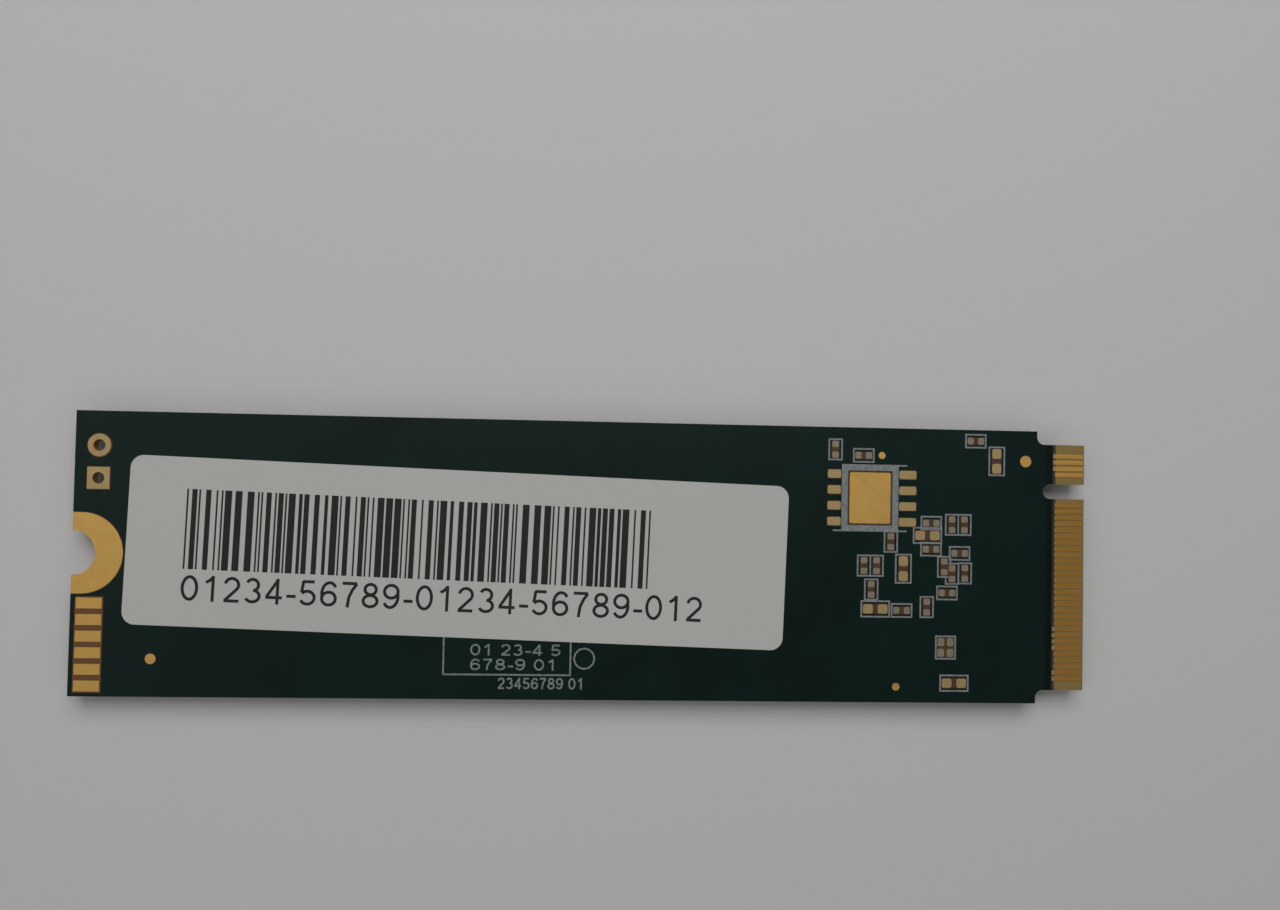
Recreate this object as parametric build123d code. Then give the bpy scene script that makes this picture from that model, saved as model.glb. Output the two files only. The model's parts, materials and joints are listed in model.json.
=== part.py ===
# Gumstick solid state drive, 22 mm wide and 80 mm long
#
# A thin circuit board with gold edge contacts and a key notch at one end and a half-round screw notch at
# the other. The chips are soldered to one side. The other side has a paper label, spare solder pads and
# printed outlines. The drive lies on its chips, with the label side up.
#
# X runs along the board towards the edge contacts, Y across it and Z up. The origin is the middle of the
# footprint, level with the flat tops of the tallest chips, which are what it lies on.

from build123d import *
from collections import namedtuple
import os

# Board outline
BOARD_LENGTH = 80.0
BOARD_WIDTH = 22.0
LAMINATE_THICKNESS = 0.72
SHOULDER_STEP = 1.075          # how far each long edge steps in at the tongue
TONGUE_LENGTH = 4.0
SHOULDER_RADIUS = 0.6
TIP_BEVEL = 0.15
KEY_WIDTH = 1.2
KEY_DEPTH = 3.5

# Copper and solder mask
COPPER_THICKNESS = 0.04
MASK_THICKNESS = 0.03
MASK_CLEARANCE = 0.05          # from a pad's edge to the edge of its mask window

# Edge contacts, odd pins on the chip side and even pins on the label side
PIN_STEP = 0.25                # from one pin to the next, counting both sides
PIN_SIDE_MARGIN = 0.675        # from the tongue's side to the middle of the outermost pin
PINS_ABOVE_KEY = 9
PINS_IN_KEY = 8
CONTACT_WIDTH = 0.35
LABEL_SIDE_REACH = 2.5         # from the tip to a contact's inner end
CHIP_SIDE_REACH = 2.0
POWER_PIN_REACH = 0.15         # what a power pin adds to that
POWER_PINS = (2, 4, 12, 14, 16, 18, 70, 72, 74)

# Screw notch and its land
SCREW_NOTCH_RADIUS = 1.75
SCREW_LAND_RADIUS = 3.125
SCREW_LAND_CENTRE = 0.7        # from the board's end
PLATING_THICKNESS = 0.04       # on the wall of the notch and of the header holes

# Header holes, between the screw land and the long edge
HEADER_FROM_END = 1.8
HEADER_PITCH = 2.54
HEADER_HOLE_RADIUS = 0.45
ROUND_PAD_RADIUS = 0.875
SQUARE_PAD_SIDE = 1.7

# Test pads, in a row below the screw land
TEST_PAD_LENGTH = 1.96
TEST_PAD_WIDTH = 0.85
TEST_PAD_PITCH = 1.27
TEST_PAD_FROM_END = 0.42
TEST_PAD_FROM_LAND = 0.3
TEST_WINDOW_MARGIN = 0.1

# Pads for two-terminal components, spare or fitted
SMALL_PAD_LENGTH = 0.5
SMALL_PAD_WIDTH = 0.55
SMALL_PAD_GAP = 0.36
LARGE_PAD_LENGTH = 0.8
LARGE_PAD_WIDTH = 0.75
LARGE_PAD_GAP = 0.4

# Printed outlines
PRINT_THICKNESS = 0.015
PRINT_LINE = 0.13
PRINT_PAST_PADS = 0.07         # from the pads' ends to the inside of their outline
PRINT_BESIDE_PADS = 0.18
PAIR_PITCH = 1.02              # between two components that share one outline
SMALL_ROUND_SIDES = 12         # of dots and other rounds under 2 mm that nothing fits in

# Spare pads for an eight-lead chip with a heat pad
SPARE_CHIP_FROM_SHOULDER = 13.74
SPARE_CHIP_FROM_EDGE = 5.66
HEAT_PAD_LENGTH = 3.34
HEAT_PAD_WIDTH = 4.1
HEAT_PAD_RIM = 0.15            # bare laminate between the heat pad and its printed border
CHIP_PRINT_BORDER = 0.5
LEAD_PITCH = 1.27
LEADS_PER_SIDE = 4
LEAD_PAD_WIDTH = 0.68
LEAD_PAD_LENGTH = 1.08
LONG_LEAD_PAD_LENGTH = 1.4
LEAD_PAD_GAP = 0.06            # from the printed border to a lead's pad
BORDER_TAIL = 0.7              # thin print that runs on from the border's corners

# Spare pads for a four-terminal component
QUAD_FROM_SHOULDER = 7.42
QUAD_FROM_EDGE = 4.42
QUAD_PAD_LENGTH = 0.56
QUAD_PAD_WIDTH = 0.66
QUAD_PAD_GAP = 0.2

# Paper label, stuck on slightly crooked
LABEL_FROM_END = 4.05
LABEL_FROM_SHOULDER = 20.5
LABEL_WIDTH = 13.1
LABEL_THICKNESS = 0.08
LABEL_CORNER = 1.0
LABEL_TURN = -1.7
LABEL_OFFSET = 0.35            # from the board's middle line

# Bars printed on the label
BAR_GROUPS = 22
BARS_IN_GROUP = 3
BARS_FROM_LABEL_END = 4.4
BARS_FROM_LABEL_TIP = 11.0
BAR_HEIGHT = 6.2
BARS_OFFSET = 1.0              # from the label's middle line
INK_THICKNESS = 0.01

# Printed box and ring beside the label
BOX_FROM_END = 28.6
BOX_LENGTH = 9.8
BOX_FROM_EDGE = 2.0
BOX_HEIGHT = 4.0
RING_RADIUS = 0.87
RING_FROM_BOX = 1.15
RING_FROM_EDGE = 3.25

# Chip packages on ball grids
BALL_HEIGHT = 0.25
BALL_RADIUS = 0.24
BALL_SIDES = 4                 # few, because there are so many balls
CARRIER_THICKNESS = 0.25
PIN_MARK_RADIUS = 0.5
PIN_MARK_DEPTH = 0.05
PIN_MARK_FROM_EDGE = 1.6

FLASH_LENGTH = 12.0
FLASH_WIDTH = 18.0
FLASH_MOULD = 0.8
FLASH_BALL_PITCH = 1.0
FLASH_BALL_FROM_SIDE = 1.0
FLASH_BALL_FROM_END = 3.5

BUFFER_LENGTH = 7.5
BUFFER_WIDTH = 10.6
BUFFER_MOULD = 0.7
BUFFER_BALL_PITCH = 0.8
BUFFER_BALL_EDGE = 0.5
BUFFER_EMPTY_COLUMNS = 3       # without balls, down the middle

CONTROLLER_SIDE = 14.0
CONTROLLER_MOULD = 0.8
CONTROLLER_CAP_INSET = 0.7
CONTROLLER_CAP_DRAFT = 15.0
CONTROLLER_CAP_CORNER = 1.0
CONTROLLER_BALL_PITCH = 1.0
CONTROLLER_BALL_EDGE = 1.0

# Power section, measured back from the shoulder
POWER_SECTION_LENGTH = 16.0

POWER_CHIP_SIDE = 4.0
POWER_CHIP_MOULD = 0.75
POWER_CHIP_LEAD = 0.14
POWER_CHIP_LEAD_LENGTH = 0.45
POWER_CHIP_LEAD_WIDTH = 0.3
POWER_CHIP_LEAD_PITCH = 0.65
POWER_CHIP_LEADS = 4
POWER_CHIP_FROM_SHOULDER = 9.2
POWER_CHIP_Y = 0.6

REGULATOR_LENGTH = 2.9
REGULATOR_WIDTH = 1.6
REGULATOR_MOULD = 0.9
REGULATOR_STANDOFF = 0.1
REGULATOR_DRAFT = 7.0
REGULATOR_SPAN = 2.8
REGULATOR_LEAD_WIDTH = 0.4
REGULATOR_LEAD_THICKNESS = 0.15
REGULATOR_LEAD_FOOT = 0.4
REGULATOR_LEAD_PITCH = 0.95
REGULATOR_FROM_SHOULDER = 8.5
REGULATOR_FROM_EDGE = 3.5

INDUCTOR_LENGTH = 2.5
INDUCTOR_WIDTH = 2.0
INDUCTOR_HEIGHT = 1.0
INDUCTOR_TERMINAL = 0.5
INDUCTOR_FROM_SHOULDER = 4.6
INDUCTOR_ROW_MIDDLE = 0.6
INDUCTOR_ROW_PITCH = 3.6
INDUCTOR_COUNT = 3
INDUCTOR_BODY_INSET = 0.06

CRYSTAL_LENGTH = 2.5
CRYSTAL_WIDTH = 2.0
CRYSTAL_BASE = 0.35
CRYSTAL_LID = 0.25
CRYSTAL_LID_INSET = 0.12
CRYSTAL_LID_CORNER = 0.3
CRYSTAL_PAD_LENGTH = 0.8
CRYSTAL_PAD_WIDTH = 0.65
CRYSTAL_FROM_SHOULDER = 13.7
CRYSTAL_FROM_EDGE = 3.4

# Fitted two-terminal components
SOLDER_SEAT = 0.06             # pad and solder under a terminal, made as part of the terminal
SMALL_LENGTH = 1.0
SMALL_WIDTH = 0.5
SMALL_HEIGHT = 0.5
SMALL_TERMINAL = 0.24
RESISTOR_HEIGHT = 0.35
LARGE_LENGTH = 1.6
LARGE_WIDTH = 0.8
LARGE_HEIGHT = 0.8
LARGE_TERMINAL = 0.35
CERAMIC_INSET = 0.03           # the ceramic is slimmer than its terminals by this on each face

SMALL_ROW_PITCH = 3.0          # along the rows above and below the packages
BUFFER_ROW_COUNT = 2
CONTROLLER_CAPACITORS = 4
CONTROLLER_RESISTORS = 3
POWER_CAPACITORS = 3
POWER_CAPACITOR_PITCH = 1.5
POWER_CAPACITORS_FROM_SHOULDER = 12.6
LARGE_CAPACITORS_FROM_SHOULDER = 1.9
CRYSTAL_CAPACITOR_GAP = 0.65   # from the crystal to the capacitor on each side of it

ROUNDING = 0.01                # smaller differences than this don't count

# Places worked out from the sizes above
END_X = -BOARD_LENGTH / 2
TIP_X = BOARD_LENGTH / 2
SHOULDER_X = TIP_X - TONGUE_LENGTH
EDGE_Y = BOARD_WIDTH / 2
TONGUE_WIDTH = BOARD_WIDTH - 2 * SHOULDER_STEP
PACKAGE_BASE = BALL_HEIGHT + CARRIER_THICKNESS
UNDERSIDE = PACKAGE_BASE + max(FLASH_MOULD, BUFFER_MOULD, CONTROLLER_MOULD)
TOPSIDE = UNDERSIDE + LAMINATE_THICKNESS
MASK_TOP = TOPSIDE + MASK_THICKNESS

Place = namedtuple("Place", "x y turned")
PadSet = namedtuple("PadSet", "length width gap")
SMALL_PADS = PadSet(SMALL_PAD_LENGTH, SMALL_PAD_WIDTH, SMALL_PAD_GAP)
LARGE_PADS = PadSet(LARGE_PAD_LENGTH, LARGE_PAD_WIDTH, LARGE_PAD_GAP)

parts = {}


# Helpers

def rectangle(x, y, length, width):
    """A rectangle with its middle at x, y."""
    return Pos(x, y) * Rectangle(length, width)


def span(x0, x1, y0, y1):
    """A rectangle given by its four sides."""
    return rectangle((x0 + x1) / 2, (y0 + y1) / 2, x1 - x0, y1 - y0)


def disc(x, y, radius):
    return Pos(x, y) * Circle(radius)


def dot(x, y, radius):
    """A small round that nothing fits in, drawn with straight sides."""
    return Pos(x, y) * RegularPolygon(radius, SMALL_ROUND_SIDES)


def layer(profile, low, thickness):
    """A flat profile made into a sheet, upwards from the height low."""
    return Pos(0, 0, low) * extrude(profile, amount=thickness)


def on_top(profile, thickness):
    """A sheet that lies on the laminate's label side."""
    return layer(profile, TOPSIDE, thickness)


def underneath(profile, thickness, gap=0.0):
    """A sheet that hangs below the laminate's chip side, a gap away from it."""
    return layer(profile, UNDERSIDE - gap - thickness, thickness)


def turned(place, profile):
    """The profile at a component's place, along X or turned along Y."""
    return Pos(place.x, place.y) * Rot(0, 0, 90 if place.turned else 0) * profile


def two_pads(place, pads):
    """Both pads of a two-terminal component."""
    middle = (pads.gap + pads.length) / 2
    pair = rectangle(-middle, 0, pads.length, pads.width) + rectangle(middle, 0, pads.length, pads.width)
    return turned(place, pair)


def pads_field(place, pads, margin):
    """The rectangle round both pads of a component, wider than them by the margin on every side."""
    length = pads.gap + 2 * pads.length + 2 * margin
    return turned(place, Rectangle(length, pads.width + 2 * margin))


# Board outline

def pin_y(pin):
    return PIN_STEP * (pin - (PIN_COUNT + 1) / 2)


PIN_COUNT = 2 * int((TONGUE_WIDTH / 2 - PIN_SIDE_MARGIN) / PIN_STEP + ROUNDING) + 1
LAST_KEY_PIN = PIN_COUNT - PINS_ABOVE_KEY
FIRST_KEY_PIN = LAST_KEY_PIN - PINS_IN_KEY + 1
KEY_Y = pin_y((FIRST_KEY_PIN + LAST_KEY_PIN) / 2)
HEADER_X = END_X + HEADER_FROM_END
HEADER_Y = (SCREW_LAND_RADIUS + EDGE_Y) / 2
ROUND_PAD_Y = HEADER_Y + HEADER_PITCH / 2
SQUARE_PAD_Y = HEADER_Y - HEADER_PITCH / 2


def board_outline():
    """The board seen from above: a rectangle with a narrower tongue, the key notch and no other hole."""
    half_tongue = TONGUE_WIDTH / 2
    board = span(END_X, SHOULDER_X, -EDGE_Y, EDGE_Y) + span(SHOULDER_X, TIP_X, -half_tongue, half_tongue)
    on_shoulder = [corner for corner in board.vertices() if abs(corner.X - SHOULDER_X) < ROUNDING]
    inner_corners = [corner for corner in on_shoulder if abs(corner.Y) < EDGE_Y - ROUNDING]
    board = fillet(inner_corners, SHOULDER_RADIUS)
    key_end = TIP_X - KEY_DEPTH + KEY_WIDTH / 2
    half_key = KEY_WIDTH / 2
    key = span(key_end, TIP_X, KEY_Y - half_key, KEY_Y + half_key) + disc(key_end, KEY_Y, half_key)
    return board - key


def screw_land_profile():
    """A disc near the board's end with straight sides back to that end."""
    centre = END_X + SCREW_LAND_CENTRE
    land = disc(centre, 0, SCREW_LAND_RADIUS) + span(END_X, centre, -SCREW_LAND_RADIUS, SCREW_LAND_RADIUS)
    beyond = span(END_X - SCREW_LAND_RADIUS, END_X, -SCREW_LAND_RADIUS, SCREW_LAND_RADIUS)
    return land - beyond


OUTLINE = board_outline()
NOTCH = disc(END_X, 0, SCREW_NOTCH_RADIUS)
PLATED_NOTCH = disc(END_X, 0, SCREW_NOTCH_RADIUS + PLATING_THICKNESS)
LAND = screw_land_profile() - NOTCH
HEADER_HOLES = disc(HEADER_X, ROUND_PAD_Y, HEADER_HOLE_RADIUS + PLATING_THICKNESS) + disc(
    HEADER_X, SQUARE_PAD_Y, HEADER_HOLE_RADIUS + PLATING_THICKNESS
)


def laminate():
    """The bare board, with both edges of its tip bevelled for the socket."""
    board = layer(OUTLINE - PLATED_NOTCH - HEADER_HOLES, UNDERSIDE, LAMINATE_THICKNESS)
    tip_edges = board.edges().filter_by(Axis.Y).filter_by(lambda edge: edge.center().X > TIP_X - ROUNDING)
    return chamfer(tip_edges, TIP_BEVEL)


def contacts(pins, reach):
    """A contact for each pin, from the bevel back to the reach."""
    strips = []
    for pin in pins:
        inner = TIP_X - reach - (POWER_PIN_REACH if pin in POWER_PINS else 0)
        y = pin_y(pin)
        strips.append(span(inner, TIP_X - TIP_BEVEL, y - CONTACT_WIDTH / 2, y + CONTACT_WIDTH / 2))
    return Sketch() + strips


def plated_hole(pad, y):
    """A pad on both sides and the tube through the board that joins them."""
    hole = disc(HEADER_X, y, HEADER_HOLE_RADIUS)
    tube = disc(HEADER_X, y, HEADER_HOLE_RADIUS + PLATING_THICKNESS) - hole
    barrel = layer(tube, UNDERSIDE, LAMINATE_THICKNESS)
    return barrel + on_top(pad - hole, COPPER_THICKNESS) + underneath(pad - hole, COPPER_THICKNESS)


EVEN_PINS = [pin for pin in range(2, PIN_COUNT, 2) if not FIRST_KEY_PIN <= pin <= LAST_KEY_PIN]
ODD_PINS = [pin for pin in range(1, PIN_COUNT + 1, 2) if not FIRST_KEY_PIN <= pin <= LAST_KEY_PIN]

parts["laminate_board"] = laminate()
parts["edge_contacts_label_side"] = on_top(contacts(EVEN_PINS, LABEL_SIDE_REACH), COPPER_THICKNESS)
parts["edge_contacts_chip_side"] = underneath(contacts(ODD_PINS, CHIP_SIDE_REACH), COPPER_THICKNESS)

notch_lining = layer(
    (PLATED_NOTCH - NOTCH) & span(END_X, 0, -EDGE_Y, EDGE_Y), UNDERSIDE, LAMINATE_THICKNESS
)
parts["gold_screw_land"] = notch_lining + on_top(LAND, COPPER_THICKNESS) + underneath(LAND, COPPER_THICKNESS)
parts["round_header_hole"] = plated_hole(disc(HEADER_X, ROUND_PAD_Y, ROUND_PAD_RADIUS), ROUND_PAD_Y)
parts["square_header_hole"] = plated_hole(
    rectangle(HEADER_X, SQUARE_PAD_Y, SQUARE_PAD_SIDE, SQUARE_PAD_SIDE), SQUARE_PAD_Y
)


# Label side: spare pads, test pads and dots

def from_shoulder(distance):
    return SHOULDER_X - distance


def from_near_edge(distance):
    """A height measured down from the long edge that the header holes are near."""
    return EDGE_Y - distance


def from_far_edge(distance):
    """A height measured up from the other long edge."""
    return distance - EDGE_Y


def spare(distance, drop, turned_round):
    """A spare component's place, back from the shoulder and down from the near edge."""
    return Place(from_shoulder(distance), from_near_edge(drop), turned_round)


SPARE_SMALL = [
    spare(5.1, 0.9, False),
    spare(14.3, 2.24, False),
    spare(16.6, 1.8, True),
    spare(8.7, 7.6, False),
    spare(8.7, 9.7, False),
    spare(6.35, 10.0, False),
    spare(12.0, 9.15, True),
    spare(7.6, 11.1, True),
    spare(6.95, 11.65, True),
    spare(5.9, 11.6, True),
    spare(7.35, 13.2, False),
    spare(13.55, 13.0, True),
    spare(9.0, 14.35, True),
    spare(11.05, 14.65, False),
]
SPARE_LARGE = [
    spare(3.35, 2.5, True),
    spare(9.0, 8.6, False),
    spare(10.95, 11.3, True),
    spare(13.2, 14.55, False),
    Place(from_shoulder(6.7), from_far_edge(1.57), False),
]
SPARE_PAIRS = [spare(6.48, 7.7, True), spare(13.65, 11.09, True)]
DOTS = [
    (END_X + 6.14, from_far_edge(2.92), 0.4),
    (from_shoulder(0.95), from_near_edge(2.47), 0.46),
    (from_shoulder(12.8), from_near_edge(2.22), 0.28),
    (from_shoulder(11.45), from_far_edge(1.25), 0.3),
]


def both_of(pair):
    """The two components of a pair, side by side and both turned along Y."""
    return [Place(pair.x + side * PAIR_PITCH / 2, pair.y, True) for side in (-1, 1)]


SPARE_SMALL_ALL = SPARE_SMALL + [place for pair in SPARE_PAIRS for place in both_of(pair)]
SPARE_CHIP_X = from_shoulder(SPARE_CHIP_FROM_SHOULDER)
SPARE_CHIP_Y = from_near_edge(SPARE_CHIP_FROM_EDGE)
BORDER_INNER_LENGTH = HEAT_PAD_LENGTH + 2 * HEAT_PAD_RIM
BORDER_INNER_WIDTH = HEAT_PAD_WIDTH + 2 * HEAT_PAD_RIM
BORDER_HALF_LENGTH = BORDER_INNER_LENGTH / 2 + CHIP_PRINT_BORDER
BORDER_HALF_WIDTH = BORDER_INNER_WIDTH / 2 + CHIP_PRINT_BORDER
QUAD_X = from_shoulder(QUAD_FROM_SHOULDER)
QUAD_Y = from_far_edge(QUAD_FROM_EDGE)
QUAD_LENGTH = 2 * QUAD_PAD_LENGTH + QUAD_PAD_GAP
QUAD_WIDTH = 2 * QUAD_PAD_WIDTH + QUAD_PAD_GAP


def lead_pads(margin):
    """The eight lead pads, wider by the margin on every side."""
    pads = []
    for side, length in ((-1, LEAD_PAD_LENGTH), (1, LONG_LEAD_PAD_LENGTH)):
        x = SPARE_CHIP_X + side * (BORDER_HALF_LENGTH + LEAD_PAD_GAP + length / 2)
        for row in range(LEADS_PER_SIDE):
            y = SPARE_CHIP_Y + LEAD_PITCH * (row - (LEADS_PER_SIDE - 1) / 2)
            pads.append(rectangle(x, y, length + 2 * margin, LEAD_PAD_WIDTH + 2 * margin))
    return pads


def quad_pads():
    step_x = (QUAD_PAD_LENGTH + QUAD_PAD_GAP) / 2
    step_y = (QUAD_PAD_WIDTH + QUAD_PAD_GAP) / 2
    return [
        rectangle(QUAD_X + i * step_x, QUAD_Y + j * step_y, QUAD_PAD_LENGTH, QUAD_PAD_WIDTH)
        for i in (-1, 1)
        for j in (-1, 1)
    ]


def test_pad_heights():
    """As many test pads as fit between the screw land and the board's edge."""
    first = -SCREW_LAND_RADIUS - TEST_PAD_FROM_LAND - TEST_PAD_WIDTH / 2
    last = -EDGE_Y + TEST_WINDOW_MARGIN + TEST_PAD_WIDTH / 2
    count = int((first - last) / TEST_PAD_PITCH + ROUNDING) + 1
    return [first - TEST_PAD_PITCH * row for row in range(count)]


TEST_HEIGHTS = test_pad_heights()
TEST_PAD_X0 = END_X + TEST_PAD_FROM_END
TEST_PAD_X1 = TEST_PAD_X0 + TEST_PAD_LENGTH
TEST_PADS = [
    span(TEST_PAD_X0, TEST_PAD_X1, y - TEST_PAD_WIDTH / 2, y + TEST_PAD_WIDTH / 2) for y in TEST_HEIGHTS
]
TEST_WINDOW = span(
    TEST_PAD_X0 - TEST_WINDOW_MARGIN,
    TEST_PAD_X1 + TEST_WINDOW_MARGIN,
    TEST_HEIGHTS[-1] - TEST_PAD_WIDTH / 2 - TEST_WINDOW_MARGIN,
    TEST_HEIGHTS[0] + TEST_PAD_WIDTH / 2 + TEST_WINDOW_MARGIN,
)

spare_component_pads = (
    [two_pads(place, SMALL_PADS) for place in SPARE_SMALL_ALL]
    + [two_pads(place, LARGE_PADS) for place in SPARE_LARGE]
    + quad_pads()
)
heat_pad = rectangle(SPARE_CHIP_X, SPARE_CHIP_Y, HEAT_PAD_LENGTH, HEAT_PAD_WIDTH)
parts["spare_component_pads"] = on_top(Sketch() + spare_component_pads, COPPER_THICKNESS)
parts["spare_chip_pads"] = on_top(Sketch() + lead_pads(0) + [heat_pad], COPPER_THICKNESS)
parts["test_pads"] = on_top(Sketch() + TEST_PADS, COPPER_THICKNESS)
parts["alignment_dots"] = on_top(Sketch() + [dot(x, y, radius) for x, y, radius in DOTS], COPPER_THICKNESS)


# Solder mask on the label side, a film with a window over everything that stays bare

def window_round(x, y, length, width):
    """A mask window that clears a rectangle of this size."""
    return rectangle(x, y, length + 2 * MASK_CLEARANCE, width + 2 * MASK_CLEARANCE)


def tongue_window(reach):
    """Everything past the contacts' inner ends."""
    return span(TIP_X - reach - POWER_PIN_REACH - MASK_CLEARANCE, TIP_X + MASK_CLEARANCE, -EDGE_Y, EDGE_Y)


def land_window():
    """The screw land's outline, wider by the clearance, and open to the board's end."""
    centre = END_X + SCREW_LAND_CENTRE
    reach = SCREW_LAND_RADIUS + MASK_CLEARANCE
    return disc(centre, 0, reach) + span(END_X - MASK_CLEARANCE, centre, -reach, reach)


def header_windows():
    return [
        dot(HEADER_X, ROUND_PAD_Y, ROUND_PAD_RADIUS + 2 * MASK_CLEARANCE),
        window_round(HEADER_X, SQUARE_PAD_Y, SQUARE_PAD_SIDE, SQUARE_PAD_SIDE),
    ]


label_side_windows = (
    [pads_field(place, SMALL_PADS, MASK_CLEARANCE) for place in SPARE_SMALL_ALL]
    + [pads_field(place, LARGE_PADS, MASK_CLEARANCE) for place in SPARE_LARGE]
    + lead_pads(MASK_CLEARANCE)
    + [window_round(QUAD_X, QUAD_Y, QUAD_LENGTH, QUAD_WIDTH)]
    + [rectangle(SPARE_CHIP_X, SPARE_CHIP_Y, BORDER_INNER_LENGTH, BORDER_INNER_WIDTH)]
    + [dot(x, y, radius + MASK_CLEARANCE) for x, y, radius in DOTS]
    + [TEST_WINDOW, tongue_window(LABEL_SIDE_REACH), land_window()]
    + header_windows()
)
LABEL_SIDE_WINDOWS = Sketch() + label_side_windows
parts["solder_mask_label_side"] = on_top(OUTLINE - NOTCH - LABEL_SIDE_WINDOWS, MASK_THICKNESS)


# Paper label with its bars

LABEL_START = END_X + LABEL_FROM_END
LABEL_STOP = SHOULDER_X - LABEL_FROM_SHOULDER
LABEL_LENGTH = LABEL_STOP - LABEL_START
LABEL_PLACE = Pos((LABEL_START + LABEL_STOP) / 2, LABEL_OFFSET) * Rot(0, 0, LABEL_TURN)
LABEL = LABEL_PLACE * RectangleRounded(LABEL_LENGTH, LABEL_WIDTH, LABEL_CORNER)
BAR_STEPS = (1, 3, 1, 2, 4, 1, 2)
GAP_STEPS = (2, 1, 3, 1, 2)


def bars():
    """Groups of bars of one to four steps, spread over the printed field."""
    widths = []
    for group in range(BAR_GROUPS):
        for bar in range(BARS_IN_GROUP):
            widths.append(BAR_STEPS[(group * group + 3 * group * bar + bar) % len(BAR_STEPS)])
            widths.append(GAP_STEPS[(2 * group + group * bar + bar) % len(GAP_STEPS)])
    widths.pop()
    step = (LABEL_LENGTH - BARS_FROM_LABEL_END - BARS_FROM_LABEL_TIP) / sum(widths)
    left = BARS_FROM_LABEL_END - LABEL_LENGTH / 2
    low = BARS_OFFSET - BAR_HEIGHT / 2
    drawn = []
    for index, width in enumerate(widths):
        right = left + width * step
        if index % 2 == 0:
            drawn.append(span(left, right, low, low + BAR_HEIGHT))
        left = right
    return LABEL_PLACE * (Sketch() + drawn)


parts["paper_label"] = layer(LABEL, MASK_TOP, LABEL_THICKNESS)
parts["label_bars"] = layer(bars(), MASK_TOP + LABEL_THICKNESS, INK_THICKNESS)


# Printed outlines on the label side

def outline_ring(x, y, length, width, line):
    return rectangle(x, y, length + 2 * line, width + 2 * line) - rectangle(x, y, length, width)


def component_outline(place, pads):
    """The printed rectangle round a two-terminal component's pads."""
    length = pads.gap + 2 * pads.length + 2 * PRINT_PAST_PADS
    ring = outline_ring(0, 0, length, pads.width + 2 * PRINT_BESIDE_PADS, PRINT_LINE)
    return turned(place, ring)


def pair_outline(pair):
    """One printed rectangle round two components, with a line between them."""
    length = SMALL_PADS.gap + 2 * SMALL_PADS.length + 2 * PRINT_PAST_PADS
    width = PAIR_PITCH + SMALL_PADS.width + 2 * PRINT_BESIDE_PADS
    ring = outline_ring(0, 0, length, width, PRINT_LINE) + Rectangle(length + PRINT_LINE, PRINT_LINE)
    return turned(pair, ring)


def spare_chip_border():
    """A thick border round the heat pad, with thin lines that run on from three of its corners."""
    border = outline_ring(
        SPARE_CHIP_X, SPARE_CHIP_Y, BORDER_INNER_LENGTH, BORDER_INNER_WIDTH, CHIP_PRINT_BORDER
    )
    tails = []
    for side, end in ((1, 1), (1, -1), (-1, -1)):
        x = SPARE_CHIP_X + side * (BORDER_HALF_LENGTH + BORDER_TAIL / 2 - PRINT_LINE / 2)
        y = SPARE_CHIP_Y + end * (BORDER_HALF_WIDTH - PRINT_LINE / 2)
        tails.append(rectangle(x, y, BORDER_TAIL + PRINT_LINE, PRINT_LINE))
    return border + tails


BOX_X = END_X + BOX_FROM_END + BOX_LENGTH / 2
RING_X = END_X + BOX_FROM_END + BOX_LENGTH + RING_FROM_BOX
RING_Y = from_far_edge(RING_FROM_EDGE)
BOX_Y = from_far_edge(BOX_FROM_EDGE) + BOX_HEIGHT / 2
printed_box = outline_ring(BOX_X, BOX_Y, BOX_LENGTH, BOX_HEIGHT, PRINT_LINE)
quad_outline = outline_ring(
    QUAD_X, QUAD_Y, QUAD_LENGTH + 2 * PRINT_PAST_PADS, QUAD_WIDTH + 2 * PRINT_PAST_PADS, PRINT_LINE
)
printed_ring = dot(RING_X, RING_Y, RING_RADIUS) - dot(RING_X, RING_Y, RING_RADIUS - PRINT_LINE)
printed = (
    [component_outline(place, SMALL_PADS) for place in SPARE_SMALL]
    + [component_outline(place, LARGE_PADS) for place in SPARE_LARGE]
    + [pair_outline(pair) for pair in SPARE_PAIRS]
    + [spare_chip_border(), quad_outline, printed_box, printed_ring]
)
parts["printed_outlines"] = layer(Sketch() + printed - LABEL_SIDE_WINDOWS - LABEL, MASK_TOP, PRINT_THICKNESS)


# Chip side: packages on ball grids, evenly spaced between the screw land and the power section

LAND_END_X = END_X + SCREW_LAND_CENTRE + SCREW_LAND_RADIUS
POWER_START_X = SHOULDER_X - POWER_SECTION_LENGTH
PACKAGE_LENGTHS = (FLASH_LENGTH, FLASH_LENGTH, BUFFER_LENGTH, CONTROLLER_SIDE)
PACKAGE_GAP = (POWER_START_X - LAND_END_X - sum(PACKAGE_LENGTHS)) / (len(PACKAGE_LENGTHS) + 1)
FLASH_2_X = LAND_END_X + PACKAGE_GAP + FLASH_LENGTH / 2
FLASH_1_X = FLASH_2_X + FLASH_LENGTH + PACKAGE_GAP
BUFFER_X = FLASH_1_X + FLASH_LENGTH / 2 + PACKAGE_GAP + BUFFER_LENGTH / 2
CONTROLLER_X = BUFFER_X + BUFFER_LENGTH / 2 + PACKAGE_GAP + CONTROLLER_SIDE / 2


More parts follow.
